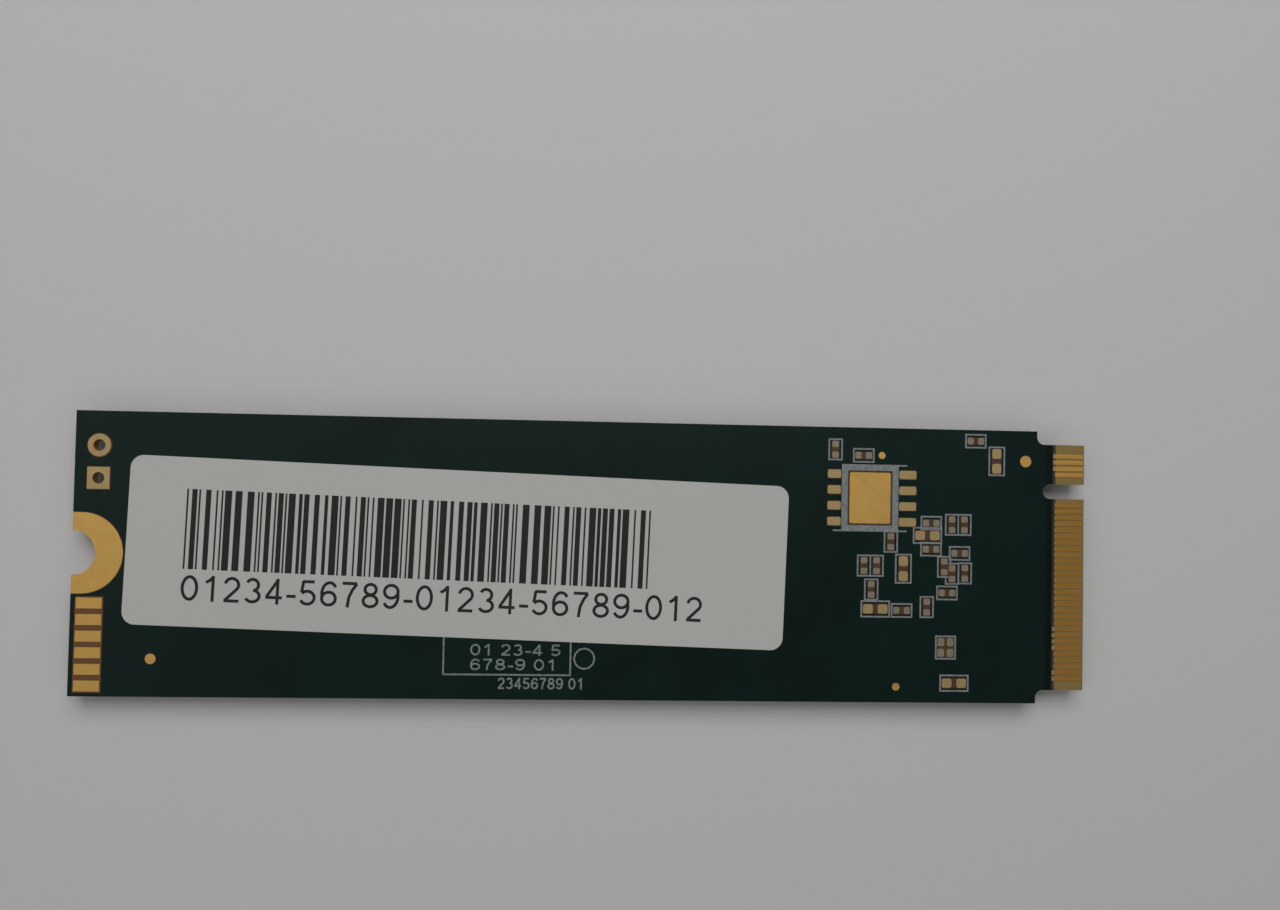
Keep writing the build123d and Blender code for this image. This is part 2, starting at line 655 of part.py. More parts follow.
def ball_ring(x, length, width, pitch, from_side, from_end, empty_columns=0):
    """The outermost ring of a package's solder balls, which is what shows under its edge."""
    columns = int((length - 2 * from_side) / pitch + ROUNDING) + 1
    rows = int((width - 2 * from_end) / pitch + ROUNDING) + 1
    balls = []
    for column in range(columns):
        off_middle = column - (columns - 1) / 2
        for row in range(rows):
            on_ring = column in (0, columns - 1) or row in (0, rows - 1)
            if on_ring and abs(off_middle) >= empty_columns / 2:
                place = Pos(x + pitch * off_middle, pitch * (row - (rows - 1) / 2))
                balls.append(place * RegularPolygon(BALL_RADIUS, BALL_SIDES))
    return Sketch() + balls


def memory_package(name, x, length, width, mould, balls):
    """A memory chip: balls, carrier and a moulded body sawn flush with the carrier."""
    footprint = rectangle(x, 0, length, width)
    parts[name + "_solder_balls"] = underneath(balls, BALL_HEIGHT)
    parts[name + "_carrier"] = underneath(footprint, CARRIER_THICKNESS, BALL_HEIGHT)
    parts[name + "_body"] = underneath(footprint, mould, PACKAGE_BASE)


def controller_package():
    """The controller: its moulded cap stands in from the carrier's edge, with drafted sides."""
    side = CONTROLLER_SIDE
    cap_side = side - 2 * CONTROLLER_CAP_INSET
    cap = Rectangle(cap_side, cap_side)
    cap = Pos(CONTROLLER_X, 0, UNDERSIDE - PACKAGE_BASE) * chamfer(cap.vertices(), CONTROLLER_CAP_CORNER)
    body = extrude(cap, amount=CONTROLLER_MOULD, dir=(0, 0, -1), taper=CONTROLLER_CAP_DRAFT)
    mark_off = cap_side / 2 - PIN_MARK_FROM_EDGE
    mark = dot(CONTROLLER_X - mark_off, mark_off, PIN_MARK_RADIUS)
    mark = underneath(mark, PIN_MARK_DEPTH, PACKAGE_BASE + CONTROLLER_MOULD - PIN_MARK_DEPTH)
    balls = ball_ring(
        CONTROLLER_X, side, side, CONTROLLER_BALL_PITCH, CONTROLLER_BALL_EDGE, CONTROLLER_BALL_EDGE
    )
    parts["controller_solder_balls"] = underneath(balls, BALL_HEIGHT)
    parts["controller_carrier"] = underneath(
        rectangle(CONTROLLER_X, 0, side, side), CARRIER_THICKNESS, BALL_HEIGHT
    )
    parts["controller_body"] = body - mark


for name, x in (("flash_memory_1", FLASH_1_X), ("flash_memory_2", FLASH_2_X)):
    flash_balls = ball_ring(
        x, FLASH_LENGTH, FLASH_WIDTH, FLASH_BALL_PITCH, FLASH_BALL_FROM_SIDE, FLASH_BALL_FROM_END
    )
    memory_package(name, x, FLASH_LENGTH, FLASH_WIDTH, FLASH_MOULD, flash_balls)
buffer_balls = ball_ring(
    BUFFER_X,
    BUFFER_LENGTH,
    BUFFER_WIDTH,
    BUFFER_BALL_PITCH,
    BUFFER_BALL_EDGE,
    BUFFER_BALL_EDGE,
    BUFFER_EMPTY_COLUMNS,
)
memory_package("buffer_memory", BUFFER_X, BUFFER_LENGTH, BUFFER_WIDTH, BUFFER_MOULD, buffer_balls)
controller_package()


# Chip side: power section

POWER_CHIP_X = from_shoulder(POWER_CHIP_FROM_SHOULDER)
REGULATOR_X = from_shoulder(REGULATOR_FROM_SHOULDER)
REGULATOR_Y = EDGE_Y - REGULATOR_FROM_EDGE
INDUCTOR_X = from_shoulder(INDUCTOR_FROM_SHOULDER)
CRYSTAL_X = from_shoulder(CRYSTAL_FROM_SHOULDER)
CRYSTAL_Y = from_near_edge(CRYSTAL_FROM_EDGE)


def row_along_x(middle, y, count, pitch, turned_round):
    return [Place(middle + pitch * (i - (count - 1) / 2), y, turned_round) for i in range(count)]


def row_along_y(x, middle, count, pitch, turned_round):
    return [Place(x, middle + pitch * (i - (count - 1) / 2), turned_round) for i in range(count)]


def power_chip():
    """A square chip without standing leads: they lie flat under its edge, round a heat pad."""
    leads = []
    reach = (POWER_CHIP_SIDE - POWER_CHIP_LEAD_LENGTH) / 2
    for i in range(POWER_CHIP_LEADS):
        along = POWER_CHIP_LEAD_PITCH * (i - (POWER_CHIP_LEADS - 1) / 2)
        for side in (-1, 1):
            leads.append(rectangle(side * reach, along, POWER_CHIP_LEAD_LENGTH, POWER_CHIP_LEAD_WIDTH))
            leads.append(rectangle(along, side * reach, POWER_CHIP_LEAD_WIDTH, POWER_CHIP_LEAD_LENGTH))
    heat_side = POWER_CHIP_SIDE - 2 * POWER_CHIP_LEAD_LENGTH - 2 * POWER_CHIP_LEAD_WIDTH
    place = Pos(POWER_CHIP_X, POWER_CHIP_Y)
    footprint = place * Rectangle(POWER_CHIP_SIDE, POWER_CHIP_SIDE)
    parts["power_chip_leads"] = underneath(
        place * (Sketch() + leads + [Rectangle(heat_side, heat_side)]), POWER_CHIP_LEAD
    )
    parts["power_chip_body"] = underneath(footprint, POWER_CHIP_MOULD, POWER_CHIP_LEAD)


def regulator_lead_rows():
    """Side and row of each lead: three on one side, two on the other."""
    return [(-1, -1), (-1, 0), (-1, 1), (1, -1), (1, 1)]


def regulator_lead():
    """A lead that comes straight out of the body's band, drops to the board and ends in a flat foot."""
    thick = REGULATOR_LEAD_THICKNESS
    band = REGULATOR_STANDOFF + (REGULATOR_MOULD - thick) / 2
    knee = REGULATOR_SPAN / 2 - REGULATOR_LEAD_FOOT
    foot = SOLDER_SEAT + thick
    corners = [
        (REGULATOR_WIDTH / 2, band + thick),
        (knee + thick, band + thick),
        (knee + thick, foot),
        (REGULATOR_SPAN / 2, foot),
        (REGULATOR_SPAN / 2, 0),
        (knee, 0),
        (knee, band),
        (REGULATOR_WIDTH / 2, band),
    ]
    outline = Polyline(*[(x, UNDERSIDE - drop) for x, drop in corners], close=True)
    return extrude(Plane.XZ * make_face(outline), amount=REGULATOR_LEAD_WIDTH / 2, both=True)


def regulator():
    """A moulded body with a straight band where the leads come out and drafted faces either side of it."""
    footprint = rectangle(REGULATOR_X, REGULATOR_Y, REGULATOR_WIDTH, REGULATOR_LENGTH)
    half = (REGULATOR_MOULD - REGULATOR_LEAD_THICKNESS) / 2
    band = REGULATOR_STANDOFF + half
    towards_board = Pos(0, 0, UNDERSIDE - band) * footprint
    away = Pos(0, 0, UNDERSIDE - band - REGULATOR_LEAD_THICKNESS) * footprint
    body = underneath(footprint, REGULATOR_LEAD_THICKNESS, band)
    body += extrude(towards_board, amount=half, dir=(0, 0, 1), taper=REGULATOR_DRAFT)
    body += extrude(away, amount=half, dir=(0, 0, -1), taper=REGULATOR_DRAFT)
    lead = regulator_lead()
    leads = [
        Pos(REGULATOR_X, REGULATOR_Y + row * REGULATOR_LEAD_PITCH) * Rot(0, 0, 0 if side > 0 else 180) * lead
        for side, row in regulator_lead_rows()
    ]
    parts["regulator_body"] = body
    parts["regulator_leads"] = Part() + leads


def regulator_windows():
    """One mask window for each side's row of feet."""
    length = REGULATOR_LEAD_FOOT + 4 * MASK_CLEARANCE
    width = 2 * REGULATOR_LEAD_PITCH + REGULATOR_LEAD_WIDTH + 4 * MASK_CLEARANCE
    reach = (REGULATOR_SPAN - REGULATOR_LEAD_FOOT) / 2
    return [rectangle(REGULATOR_X + side * reach, REGULATOR_Y, length, width) for side in (-1, 1)]


def crystal():
    """A ceramic base that stands on four corner pads, with a metal lid."""
    reach_x = (CRYSTAL_LENGTH - CRYSTAL_PAD_LENGTH) / 2
    reach_y = (CRYSTAL_WIDTH - CRYSTAL_PAD_WIDTH) / 2
    corners = [(i * reach_x, j * reach_y) for i in (-1, 1) for j in (-1, 1)]
    feet = [
        rectangle(CRYSTAL_X + x, CRYSTAL_Y + y, CRYSTAL_PAD_LENGTH, CRYSTAL_PAD_WIDTH) for x, y in corners
    ]
    footprint = rectangle(CRYSTAL_X, CRYSTAL_Y, CRYSTAL_LENGTH, CRYSTAL_WIDTH)
    base = underneath(footprint, CRYSTAL_BASE, SOLDER_SEAT)
    lid = Rectangle(CRYSTAL_LENGTH - 2 * CRYSTAL_LID_INSET, CRYSTAL_WIDTH - 2 * CRYSTAL_LID_INSET)
    lid = Pos(CRYSTAL_X, CRYSTAL_Y) * chamfer(lid.vertices(), CRYSTAL_LID_CORNER)
    parts["crystal_base"] = base + underneath(Sketch() + feet, SOLDER_SEAT)
    parts["crystal_lid"] = underneath(lid, CRYSTAL_LID, SOLDER_SEAT + CRYSTAL_BASE)


power_chip()
regulator()
crystal()


# Chip side: capacitors, resistors and inductors

BUFFER_ROW_Y = (BUFFER_WIDTH / 2 + EDGE_Y) / 2
CONTROLLER_ROW_Y = (CONTROLLER_SIDE / 2 + EDGE_Y) / 2
FLASH_ROW_Y = (FLASH_WIDTH / 2 + EDGE_Y) / 2
POWER_CAPACITORS_X = from_shoulder(POWER_CAPACITORS_FROM_SHOULDER)
LARGE_CAPACITORS_X = from_shoulder(LARGE_CAPACITORS_FROM_SHOULDER)
CRYSTAL_CAPACITOR_PITCH = CRYSTAL_WIDTH + SMALL_WIDTH + 2 * CRYSTAL_CAPACITOR_GAP

SMALL_CAPACITORS = (
    [Place(x, side * FLASH_ROW_Y, False) for x in (FLASH_1_X, FLASH_2_X) for side in (-1, 1)]
    + row_along_x(BUFFER_X, BUFFER_ROW_Y, BUFFER_ROW_COUNT, SMALL_ROW_PITCH, False)
    + row_along_x(BUFFER_X, -BUFFER_ROW_Y, BUFFER_ROW_COUNT, SMALL_ROW_PITCH, False)
    + row_along_x(CONTROLLER_X, CONTROLLER_ROW_Y, CONTROLLER_CAPACITORS, SMALL_ROW_PITCH, True)
    + row_along_y(POWER_CAPACITORS_X, POWER_CHIP_Y, POWER_CAPACITORS, POWER_CAPACITOR_PITCH, False)
    + row_along_y(CRYSTAL_X, CRYSTAL_Y, 2, CRYSTAL_CAPACITOR_PITCH, False)
)
RESISTORS = row_along_x(CONTROLLER_X, -CONTROLLER_ROW_Y, CONTROLLER_RESISTORS, SMALL_ROW_PITCH, True)
LARGE_CAPACITORS = row_along_y(
    LARGE_CAPACITORS_X, INDUCTOR_ROW_MIDDLE, INDUCTOR_COUNT, INDUCTOR_ROW_PITCH, True
)
INDUCTORS = row_along_y(INDUCTOR_X, INDUCTOR_ROW_MIDDLE, INDUCTOR_COUNT, INDUCTOR_ROW_PITCH, False)
INDUCTOR_PADS = PadSet(INDUCTOR_TERMINAL, INDUCTOR_WIDTH, INDUCTOR_LENGTH - 2 * INDUCTOR_TERMINAL)


def terminals(places, length, width, height, terminal):
    """Both end terminals of each component, with the solder and pad that they stand on."""
    reach = (length - terminal) / 2
    pair = rectangle(-reach, 0, terminal, width) + rectangle(reach, 0, terminal, width)
    return underneath(Sketch() + [turned(place, pair) for place in places], SOLDER_SEAT + height)


def middles(places, length, width, low, high):
    """The block between the terminals of each component, from the height low to the height high."""
    blocks = [turned(place, Rectangle(length, width)) for place in places]
    return underneath(Sketch() + blocks, high - low, SOLDER_SEAT + low)


def ceramic_component(name, places, length, width, height, terminal):
    """Capacitors or resistors: a ceramic block between terminals a little larger than it."""
    parts[name + "_terminals"] = terminals(places, length, width, height, terminal)
    parts[name + "_bodies"] = middles(
        places, length - 2 * terminal, width - 2 * CERAMIC_INSET, CERAMIC_INSET, height - CERAMIC_INSET
    )


ceramic_component(
    "small_capacitor", SMALL_CAPACITORS, SMALL_LENGTH, SMALL_WIDTH, SMALL_HEIGHT, SMALL_TERMINAL
)
ceramic_component(
    "large_capacitor", LARGE_CAPACITORS, LARGE_LENGTH, LARGE_WIDTH, LARGE_HEIGHT, LARGE_TERMINAL
)
ceramic_component("resistor", RESISTORS, SMALL_LENGTH, SMALL_WIDTH, RESISTOR_HEIGHT, SMALL_TERMINAL)
parts["inductor_terminals"] = terminals(
    INDUCTORS,
    INDUCTOR_LENGTH,
    INDUCTOR_WIDTH - 2 * INDUCTOR_BODY_INSET,
    INDUCTOR_HEIGHT - INDUCTOR_BODY_INSET,
    INDUCTOR_TERMINAL,
)
parts["inductor_bodies"] = middles(
    INDUCTORS, INDUCTOR_LENGTH - 2 * INDUCTOR_TERMINAL, INDUCTOR_WIDTH, INDUCTOR_BODY_INSET, INDUCTOR_HEIGHT
)


# Solder mask on the chip side

def ball_window(x, size, from_side, from_end):
    """One mask window round a package's whole ball grid, hidden by the package."""
    round_ball = BALL_RADIUS + MASK_CLEARANCE
    return rectangle(x, 0, size[0] - 2 * (from_side - round_ball), size[1] - 2 * (from_end - round_ball))


FLASH_SIZE = (FLASH_LENGTH, FLASH_WIDTH)
BUFFER_SIZE = (BUFFER_LENGTH, BUFFER_WIDTH)
CONTROLLER_SIZE = (CONTROLLER_SIDE, CONTROLLER_SIDE)
chip_side_windows = (
    [pads_field(place, SMALL_PADS, MASK_CLEARANCE) for place in SMALL_CAPACITORS + RESISTORS]
    + [pads_field(place, LARGE_PADS, MASK_CLEARANCE) for place in LARGE_CAPACITORS]
    + [pads_field(place, INDUCTOR_PADS, MASK_CLEARANCE) for place in INDUCTORS]
    + regulator_windows()
    + [window_round(CRYSTAL_X, CRYSTAL_Y, CRYSTAL_LENGTH, CRYSTAL_WIDTH)]
    + [window_round(POWER_CHIP_X, POWER_CHIP_Y, POWER_CHIP_SIDE, POWER_CHIP_SIDE)]
    + [ball_window(x, FLASH_SIZE, FLASH_BALL_FROM_SIDE, FLASH_BALL_FROM_END) for x in (FLASH_1_X, FLASH_2_X)]
    + [ball_window(BUFFER_X, BUFFER_SIZE, BUFFER_BALL_EDGE, BUFFER_BALL_EDGE)]
    + [ball_window(CONTROLLER_X, CONTROLLER_SIZE, CONTROLLER_BALL_EDGE, CONTROLLER_BALL_EDGE)]
    + [window_round(HEADER_X, HEADER_Y, 2 * ROUND_PAD_RADIUS, 2 * ROUND_PAD_RADIUS + HEADER_PITCH)]
    + [tongue_window(CHIP_SIDE_REACH), land_window()]
)
parts["solder_mask_chip_side"] = underneath(
    OUTLINE - NOTCH - (Sketch() + chip_side_windows), MASK_THICKNESS
)


# Export

os.makedirs("parts", exist_ok=True)
for node, shape in parts.items():
    export_step(shape, f"parts/{node}.step")
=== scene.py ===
# Looks of a gumstick solid state drive
#
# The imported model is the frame, and its pieces keep their shapes and places. This file gives each of them its
# finish and adds the fine work: full grids of solder balls, solder fillets, rows of small ceramic components,
# printed lines and plain digits. It is laid out as an add-on, with one operator for each group of pieces.
#
# X runs along the board towards the edge contacts, Y across it and Z up. The label side faces up.

import json
import math

import bmesh
import bpy
from bpy.props import FloatProperty, FloatVectorProperty, IntProperty, PointerProperty, StringProperty
from mathutils import Euler, Matrix, Vector


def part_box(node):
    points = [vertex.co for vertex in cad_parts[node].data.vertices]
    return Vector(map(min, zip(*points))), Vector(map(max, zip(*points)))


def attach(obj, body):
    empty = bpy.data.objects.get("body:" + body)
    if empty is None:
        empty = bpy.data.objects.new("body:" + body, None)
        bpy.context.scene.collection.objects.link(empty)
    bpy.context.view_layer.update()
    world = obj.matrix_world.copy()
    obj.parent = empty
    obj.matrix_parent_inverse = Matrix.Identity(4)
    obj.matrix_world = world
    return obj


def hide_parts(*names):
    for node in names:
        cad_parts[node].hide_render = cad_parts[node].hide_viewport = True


bl_info = {
    "name": "Gumstick solid state drive looks",
    "version": (1, 0, 0),
    "blender": (4, 5, 0),
    "location": "3D View > Sidebar > Drive",
    "description": "Finishes the packed model of a card drive with materials and fine detail",
    "category": "Object",
}

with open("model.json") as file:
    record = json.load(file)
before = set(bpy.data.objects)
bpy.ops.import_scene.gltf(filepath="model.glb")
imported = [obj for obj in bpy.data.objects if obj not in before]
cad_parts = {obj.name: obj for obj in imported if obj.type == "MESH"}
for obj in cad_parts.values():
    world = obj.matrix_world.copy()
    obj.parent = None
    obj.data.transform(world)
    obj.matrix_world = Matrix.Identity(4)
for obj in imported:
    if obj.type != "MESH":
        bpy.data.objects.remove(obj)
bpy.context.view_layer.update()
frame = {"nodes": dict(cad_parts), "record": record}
NODES = frame["nodes"]
BODY = "root"

MM = 0.001
PHOTO_WIDTH = 1280
SENSOR_WIDTH = 36.0

# Faces that print and parts stand on, and the tip of the tongue in millimetres, read from the frame
MASK_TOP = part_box("solder_mask_label_side")[1].z
MASK_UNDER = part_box("solder_mask_chip_side")[0].z
LABEL_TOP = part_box("paper_label")[1].z
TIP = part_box("laminate_board")[1].x / MM

PACKAGES = ("flash_memory_1", "flash_memory_2", "buffer_memory", "controller")


def length(name, description, millimetres):
    """A size property, given in millimetres and kept in metres."""
    return FloatProperty(
        name=name, description=description, default=millimetres * MM, unit="LENGTH", precision=5
    )


def colour(name, description, *channels):
    """A colour property, as linear red, green and blue."""
    return FloatVectorProperty(
        name=name, description=description, default=channels, size=3, min=0.0, max=1.0, subtype="COLOR"
    )


def share(name, description, default):
    """A property between none and all."""
    return FloatProperty(
        name=name, description=description, default=default, min=0.0, max=1.0, subtype="FACTOR"
    )


def amount(name, description, default):
    """A plain number."""
    return FloatProperty(name=name, description=description, default=default)


def digit_line(name, description, default):
    """A line of plain digits."""
    return StringProperty(name=name, description=description, default=default)


# Settings that a user would change

class BoardLooks(bpy.types.PropertyGroup):
    """Colours of the bare board, its copper and its print"""

    mask: colour("Solder mask", "Green lacquer over most of the board", 0.0012, 0.0140, 0.0105)
    mask_over_copper: colour("Mask over copper", "Lacquer with a track under it", 0.006, 0.034, 0.019)
    laminate: colour("Laminate", "Glass and resin in the bare tongue", 0.225, 0.147, 0.040)
    laminate_over_copper: colour("Bare window", "Darker laminate beside pads", 0.135, 0.056, 0.014)
    soft_gold: colour("Pad gold", "Thin gold on the pads and the screw land", 0.66, 0.415, 0.108)
    pale_gold: colour("Pale gold", "Gold on spare pads of leads and larger parts", 0.44, 0.33, 0.142)
    dull_gold: colour("Dull gold", "Gold on the smallest spare pads", 0.262, 0.22, 0.145)
    hard_gold: colour("Contact gold", "Hard gold on the edge contacts", 0.52, 0.275, 0.057)
    print_white: colour("Board print", "White print with the mask showing through", 0.222, 0.244, 0.248)
    mask_gloss: share("Mask roughness", "How matt the solder mask is", 0.36)


class LabelLooks(bpy.types.PropertyGroup):
    """The paper label and what is printed on it"""

    paper: colour("Paper", "Matt white label stock", 0.495, 0.505, 0.475)
    ink: colour("Ink", "Black thermal print", 0.018, 0.018, 0.018)
    digits: digit_line("Digits", "Plain digits under the bars", "01234-56789-01234-56789-012")
    digits_height: length("Digit height", "Height of the digits", 2.0)
    digits_width: length("Line width", "Width of the whole line of digits", 40.6)
    digits_weight: share("Stroke width", "Width of a stroke, as a share of the digit's height", 0.118)
    digits_x: length("Line middle", "Middle of the line from the label's middle, along the label", -1.1)
    digits_y: length("Line height", "Middle of the line from the label's middle, across the label", -3.55)
    turn: FloatProperty(
        name="Turn", description="How crooked the label lies", default=math.radians(-1.7), subtype="ANGLE"
    )
    ink_thickness: length("Ink thickness", "Thickness of the printed ink", 0.01)


class PrintLooks(bpy.types.PropertyGroup):
    """Lines of plain digits printed on the board beside the label"""

    upper: digit_line("Upper line", "Digits just under the label", "01 23-4 5")
    middle: digit_line("Middle line", "Digits at the foot of the box", "678-9 01")
    lower: digit_line("Lower line", "Digits under the box", "23456789 01")
    height: length("Digit height", "Height of the printed digits", 0.88)
    weight: share("Stroke width", "Width of a stroke, as a share of the digit's height", 0.15)
    thickness: length("Thickness", "Thickness of the print", 0.015)
    line: length("Line width", "Width of the printed lines", 0.13)


class ChipLooks(bpy.types.PropertyGroup):
    """Packages, solder balls and small components on the chip side"""

    moulding: colour("Moulding", "Black moulded chip bodies", 0.012, 0.012, 0.013)
    carrier: colour("Carrier", "Small boards that the chips stand on", 0.012, 0.045, 0.02)
    solder: colour("Solder", "Tin solder and tinned terminals", 0.50, 0.51, 0.52)
    ceramic: colour("Capacitor", "Tan capacitor ceramic", 0.22, 0.125, 0.065)
    ferrite: colour("Ferrite", "Grey inductor cores", 0.05, 0.05, 0.052)
    lid: colour("Lid", "Metal lid of the crystal", 0.36, 0.34, 0.30)
    crystal: colour("Crystal base", "Dark ceramic under the lid", 0.035, 0.033, 0.03)
    alumina: colour("Alumina", "White body of the resistors", 0.55, 0.54, 0.50)
    mark: colour("Mark", "Digits burnt into the packages", 0.20, 0.20, 0.195)
    ball_sides: IntProperty(
        name="Ball sides", description="Sides of each solder ball", default=12, min=6, max=32
    )
    ball_bulge: share("Ball bulge", "How much slimmer a ball is at its ends", 0.28)
    mark_depth: length("Mark depth", "How far the laser marks stand out from the moulding", 0.008)
    fillet_spread: length("Fillet spread", "How far solder flows out from a small component's end", 0.13)
    fillet_rise: share("Fillet rise", "How high solder climbs on a component's end", 0.55)


class StageLooks(bpy.types.PropertyGroup):
    """Floor, light and camera"""

    floor: colour("Floor", "Pale matt floor", 0.60, 0.60, 0.60)
    floor_size: FloatProperty(name="Floor size", description="Side of the floor", default=6.0, unit="LENGTH")
    camera_place: FloatVectorProperty(
        name="Camera place",
        description="Where the camera stands",
        default=(-0.68 * MM, 6.29 * MM, 81.48 * MM),
        subtype="TRANSLATION",
    )
    camera_turn: FloatVectorProperty(
        name="Camera turn",
        description="How the camera is turned from looking straight down",
        default=(math.radians(1.472), math.radians(-3.150), math.radians(1.102)),
        subtype="EULER",
    )
    focal_pixels: amount("Focal length", "Focal length in pixels of the photograph", 1000.0)
    window_light: amount("Window", "Power of the light behind the board", 0.33)
    left_light: amount("Left", "Power of the light at the notched end", 0.12)
    front_light: amount("Front", "Power of the light in front", 0.06)
    sky_strength: amount("Sky", "Strength of the light from all round", 0.20)


# Node trees written as Python

class Wire:
    """A node's output socket that takes part in Python arithmetic, which adds nodes to its tree."""

    def __init__(self, graph, socket):
        self.graph = graph
        self.socket = socket

    def of(self, output):
        """Another output of the same node."""
        return Wire(self.graph, self.socket.node.outputs[output])

    def __add__(self, other):
        return self.graph.math("ADD", self, other)

    __radd__ = __add__

    def __sub__(self, other):
        return self.graph.math("SUBTRACT", self, other)

    def __rsub__(self, other):
        return self.graph.math("SUBTRACT", other, self)

    def __mul__(self, other):
        return self.graph.math("MULTIPLY", self, other)

    __rmul__ = __mul__

    def __truediv__(self, other):
        return self.graph.math("DIVIDE", self, other)

    def __rtruediv__(self, other):
        return self.graph.math("DIVIDE", other, self)

    def __abs__(self):
        return self.graph.math("ABSOLUTE", self)

    def __lt__(self, other):
        return self.graph.math("LESS_THAN", self, other)

    def wave(self, step):
        """A sine wave of the value, which repeats after each step."""
        return self.graph.math("SINE", self * (2 * math.pi / step))


class Graph:
    """A node tree under construction."""

    def __init__(self, tree):
        self.tree = tree

    def node(self, kind, settings=None, sockets=None, output=0):
        """Add a node: first its settings, then the values or links of its sockets, by name or number."""
        made = self.tree.nodes.new(kind)
        for name, value in (settings or {}).items():
            setattr(made, name, value)
        for name, value in (sockets or {}).items():
            if isinstance(value, Wire):
                self.tree.links.new(value.socket, made.inputs[name])
            else:
                made.inputs[name].default_value = value
        return Wire(self, made.outputs[output]) if len(made.outputs) else made

    def math(self, operation, *values):
        """Arithmetic on wires and numbers."""
        return self.node("ShaderNodeMath", {"operation": operation}, dict(enumerate(values)))


class ShaderGraph(Graph):
    """A material's node tree, in which places are measured in millimetres on the object."""

    def __init__(self, name):
        self.material = bpy.data.materials.new(name)
        self.material.use_nodes = True
        super().__init__(self.material.node_tree)
        self.tree.nodes.clear()
        coordinates = self.node("ShaderNodeTexCoord", output="Object")
        self.place = self.stretched(coordinates, 1.0 / MM, 1.0 / MM, 1.0 / MM)
        split = self.node("ShaderNodeSeparateXYZ", sockets={0: self.place})
        self.x, self.y, self.z = split, split.of("Y"), split.of("Z")

    def stretched(self, vector, x, y, z):
        """The vector with each of its axes multiplied."""
        return self.node("ShaderNodeVectorMath", {"operation": "MULTIPLY"}, {0: vector, 1: (x, y, z)})

    def noise(self, scale, detail=2.0, roughness=0.5, place=None):
        """Cloudy noise, with about so many blotches to the millimetre."""
        sockets = {"Vector": place or self.place, "Scale": scale, "Detail": detail, "Roughness": roughness}
        return self.node("ShaderNodeTexNoise", None, sockets)

    def specks(self, scale, low, high):
        """Scattered dots, about so many to the millimetre, that fade from 1 to 0 between two distances."""
        sockets = {"Vector": self.place, "Scale": scale, "Randomness": 1.0}
        return 1.0 - self.ramp(self.node("ShaderNodeTexVoronoi", None, sockets), low, high)

    def by_tip(self, start, stop):
        """A soft step along the board, between two distances from its tip in millimetres."""
        return self.ramp(self.x, TIP - start, TIP - stop)

    def upward(self):
        """How far the surface faces up: 1 on top, 0 at an upright edge and -1 underneath."""
        normal = self.node("ShaderNodeNewGeometry", output="Normal")
        return self.node("ShaderNodeSeparateXYZ", None, {0: normal}, output="Z")

    def facing(self):
        """1 where the surface faces up or down, and 0 at an upright edge."""
        return self.ramp(abs(self.upward()), 0.4, 0.8)

    def ramp(self, value, low, high):
        """A soft step from 0 to 1 between two levels of a value."""
        return self.node(
            "ShaderNodeMapRange",
            {"interpolation_type": "SMOOTHSTEP"},
            {"Value": value, "From Min": low, "From Max": high},
        )

    def mix(self, factor, first, second):
        """One colour blended into another."""
        colours = {0: factor, 6: opaque(first), 7: opaque(second)}
        return self.node("ShaderNodeMix", {"data_type": "RGBA"}, colours, output=2)

    def bump(self, height, micrometres, strength):
        """A surface normal from a height between 0 and 1 that stands so many micrometres tall."""
        sockets = {"Height": height, "Distance": micrometres * MM * MM, "Strength": strength}
        return self.node("ShaderNodeBump", None, sockets)

    def finish(self, **sockets):
        """Join the shader's sockets, and return the material."""
        sockets = {name.replace("_", " "): value for name, value in sockets.items()}
        shader = self.node("ShaderNodeBsdfPrincipled", None, sockets)
        self.node("ShaderNodeOutputMaterial", None, {"Surface": shader})
        return self.material


def opaque(value):
    """A colour with its alpha, or a wire as it is."""
    return value if isinstance(value, Wire) else (*value[:3], 1.0)


def tinted(base, *factors):
    """A colour with its channels multiplied by one factor, or by one each."""
    return tuple(channel * factor for channel, factor in zip(base, factors * (3 // len(factors))))


class ModelGraph(Graph):
    """A geometry node tree with named inputs, which adds pieces to the mesh that it is given."""

    KINDS = {
        "size": "NodeSocketFloat",
        "count": "NodeSocketInt",
        "vector": "NodeSocketVector",
        "object": "NodeSocketObject",
        "material": "NodeSocketMaterial",
    }

    def __init__(self, name, **inputs):
        super().__init__(bpy.data.node_groups.new(name, "GeometryNodeTree"))
        faces = self.tree.interface
        faces.new_socket("Geometry", in_out="INPUT", socket_type="NodeSocketGeometry")
        faces.new_socket("Geometry", in_out="OUTPUT", socket_type="NodeSocketGeometry")
        for title, kind in inputs.items():
            faces.new_socket(title, in_out="INPUT", socket_type=self.KINDS[kind])
        self.given = self.node("NodeGroupInput")

    def input(self, title):
        """One of the tree's named inputs."""
        return self.given.of(title)

    def vector(self, x, y, z):
        """A vector put together from three values."""
        return self.node("ShaderNodeCombineXYZ", None, {0: x, 1: y, 2: z})

    def finish(self, geometry):
        """Join what was made to what came in, and give all of it the material."""
        joined = self.node("GeometryNodeJoinGeometry")
        self.tree.links.new(self.given.socket, joined.socket.node.inputs[0])
        self.tree.links.new(geometry.socket, joined.socket.node.inputs[0])
        real = self.node("GeometryNodeRealizeInstances", None, {0: joined})
        coating = {"Geometry": real, "Material": self.input("Material")}
        coated = self.node("GeometryNodeSetMaterial", None, coating)
        self.node("NodeGroupOutput", None, {0: coated})
        return self.tree


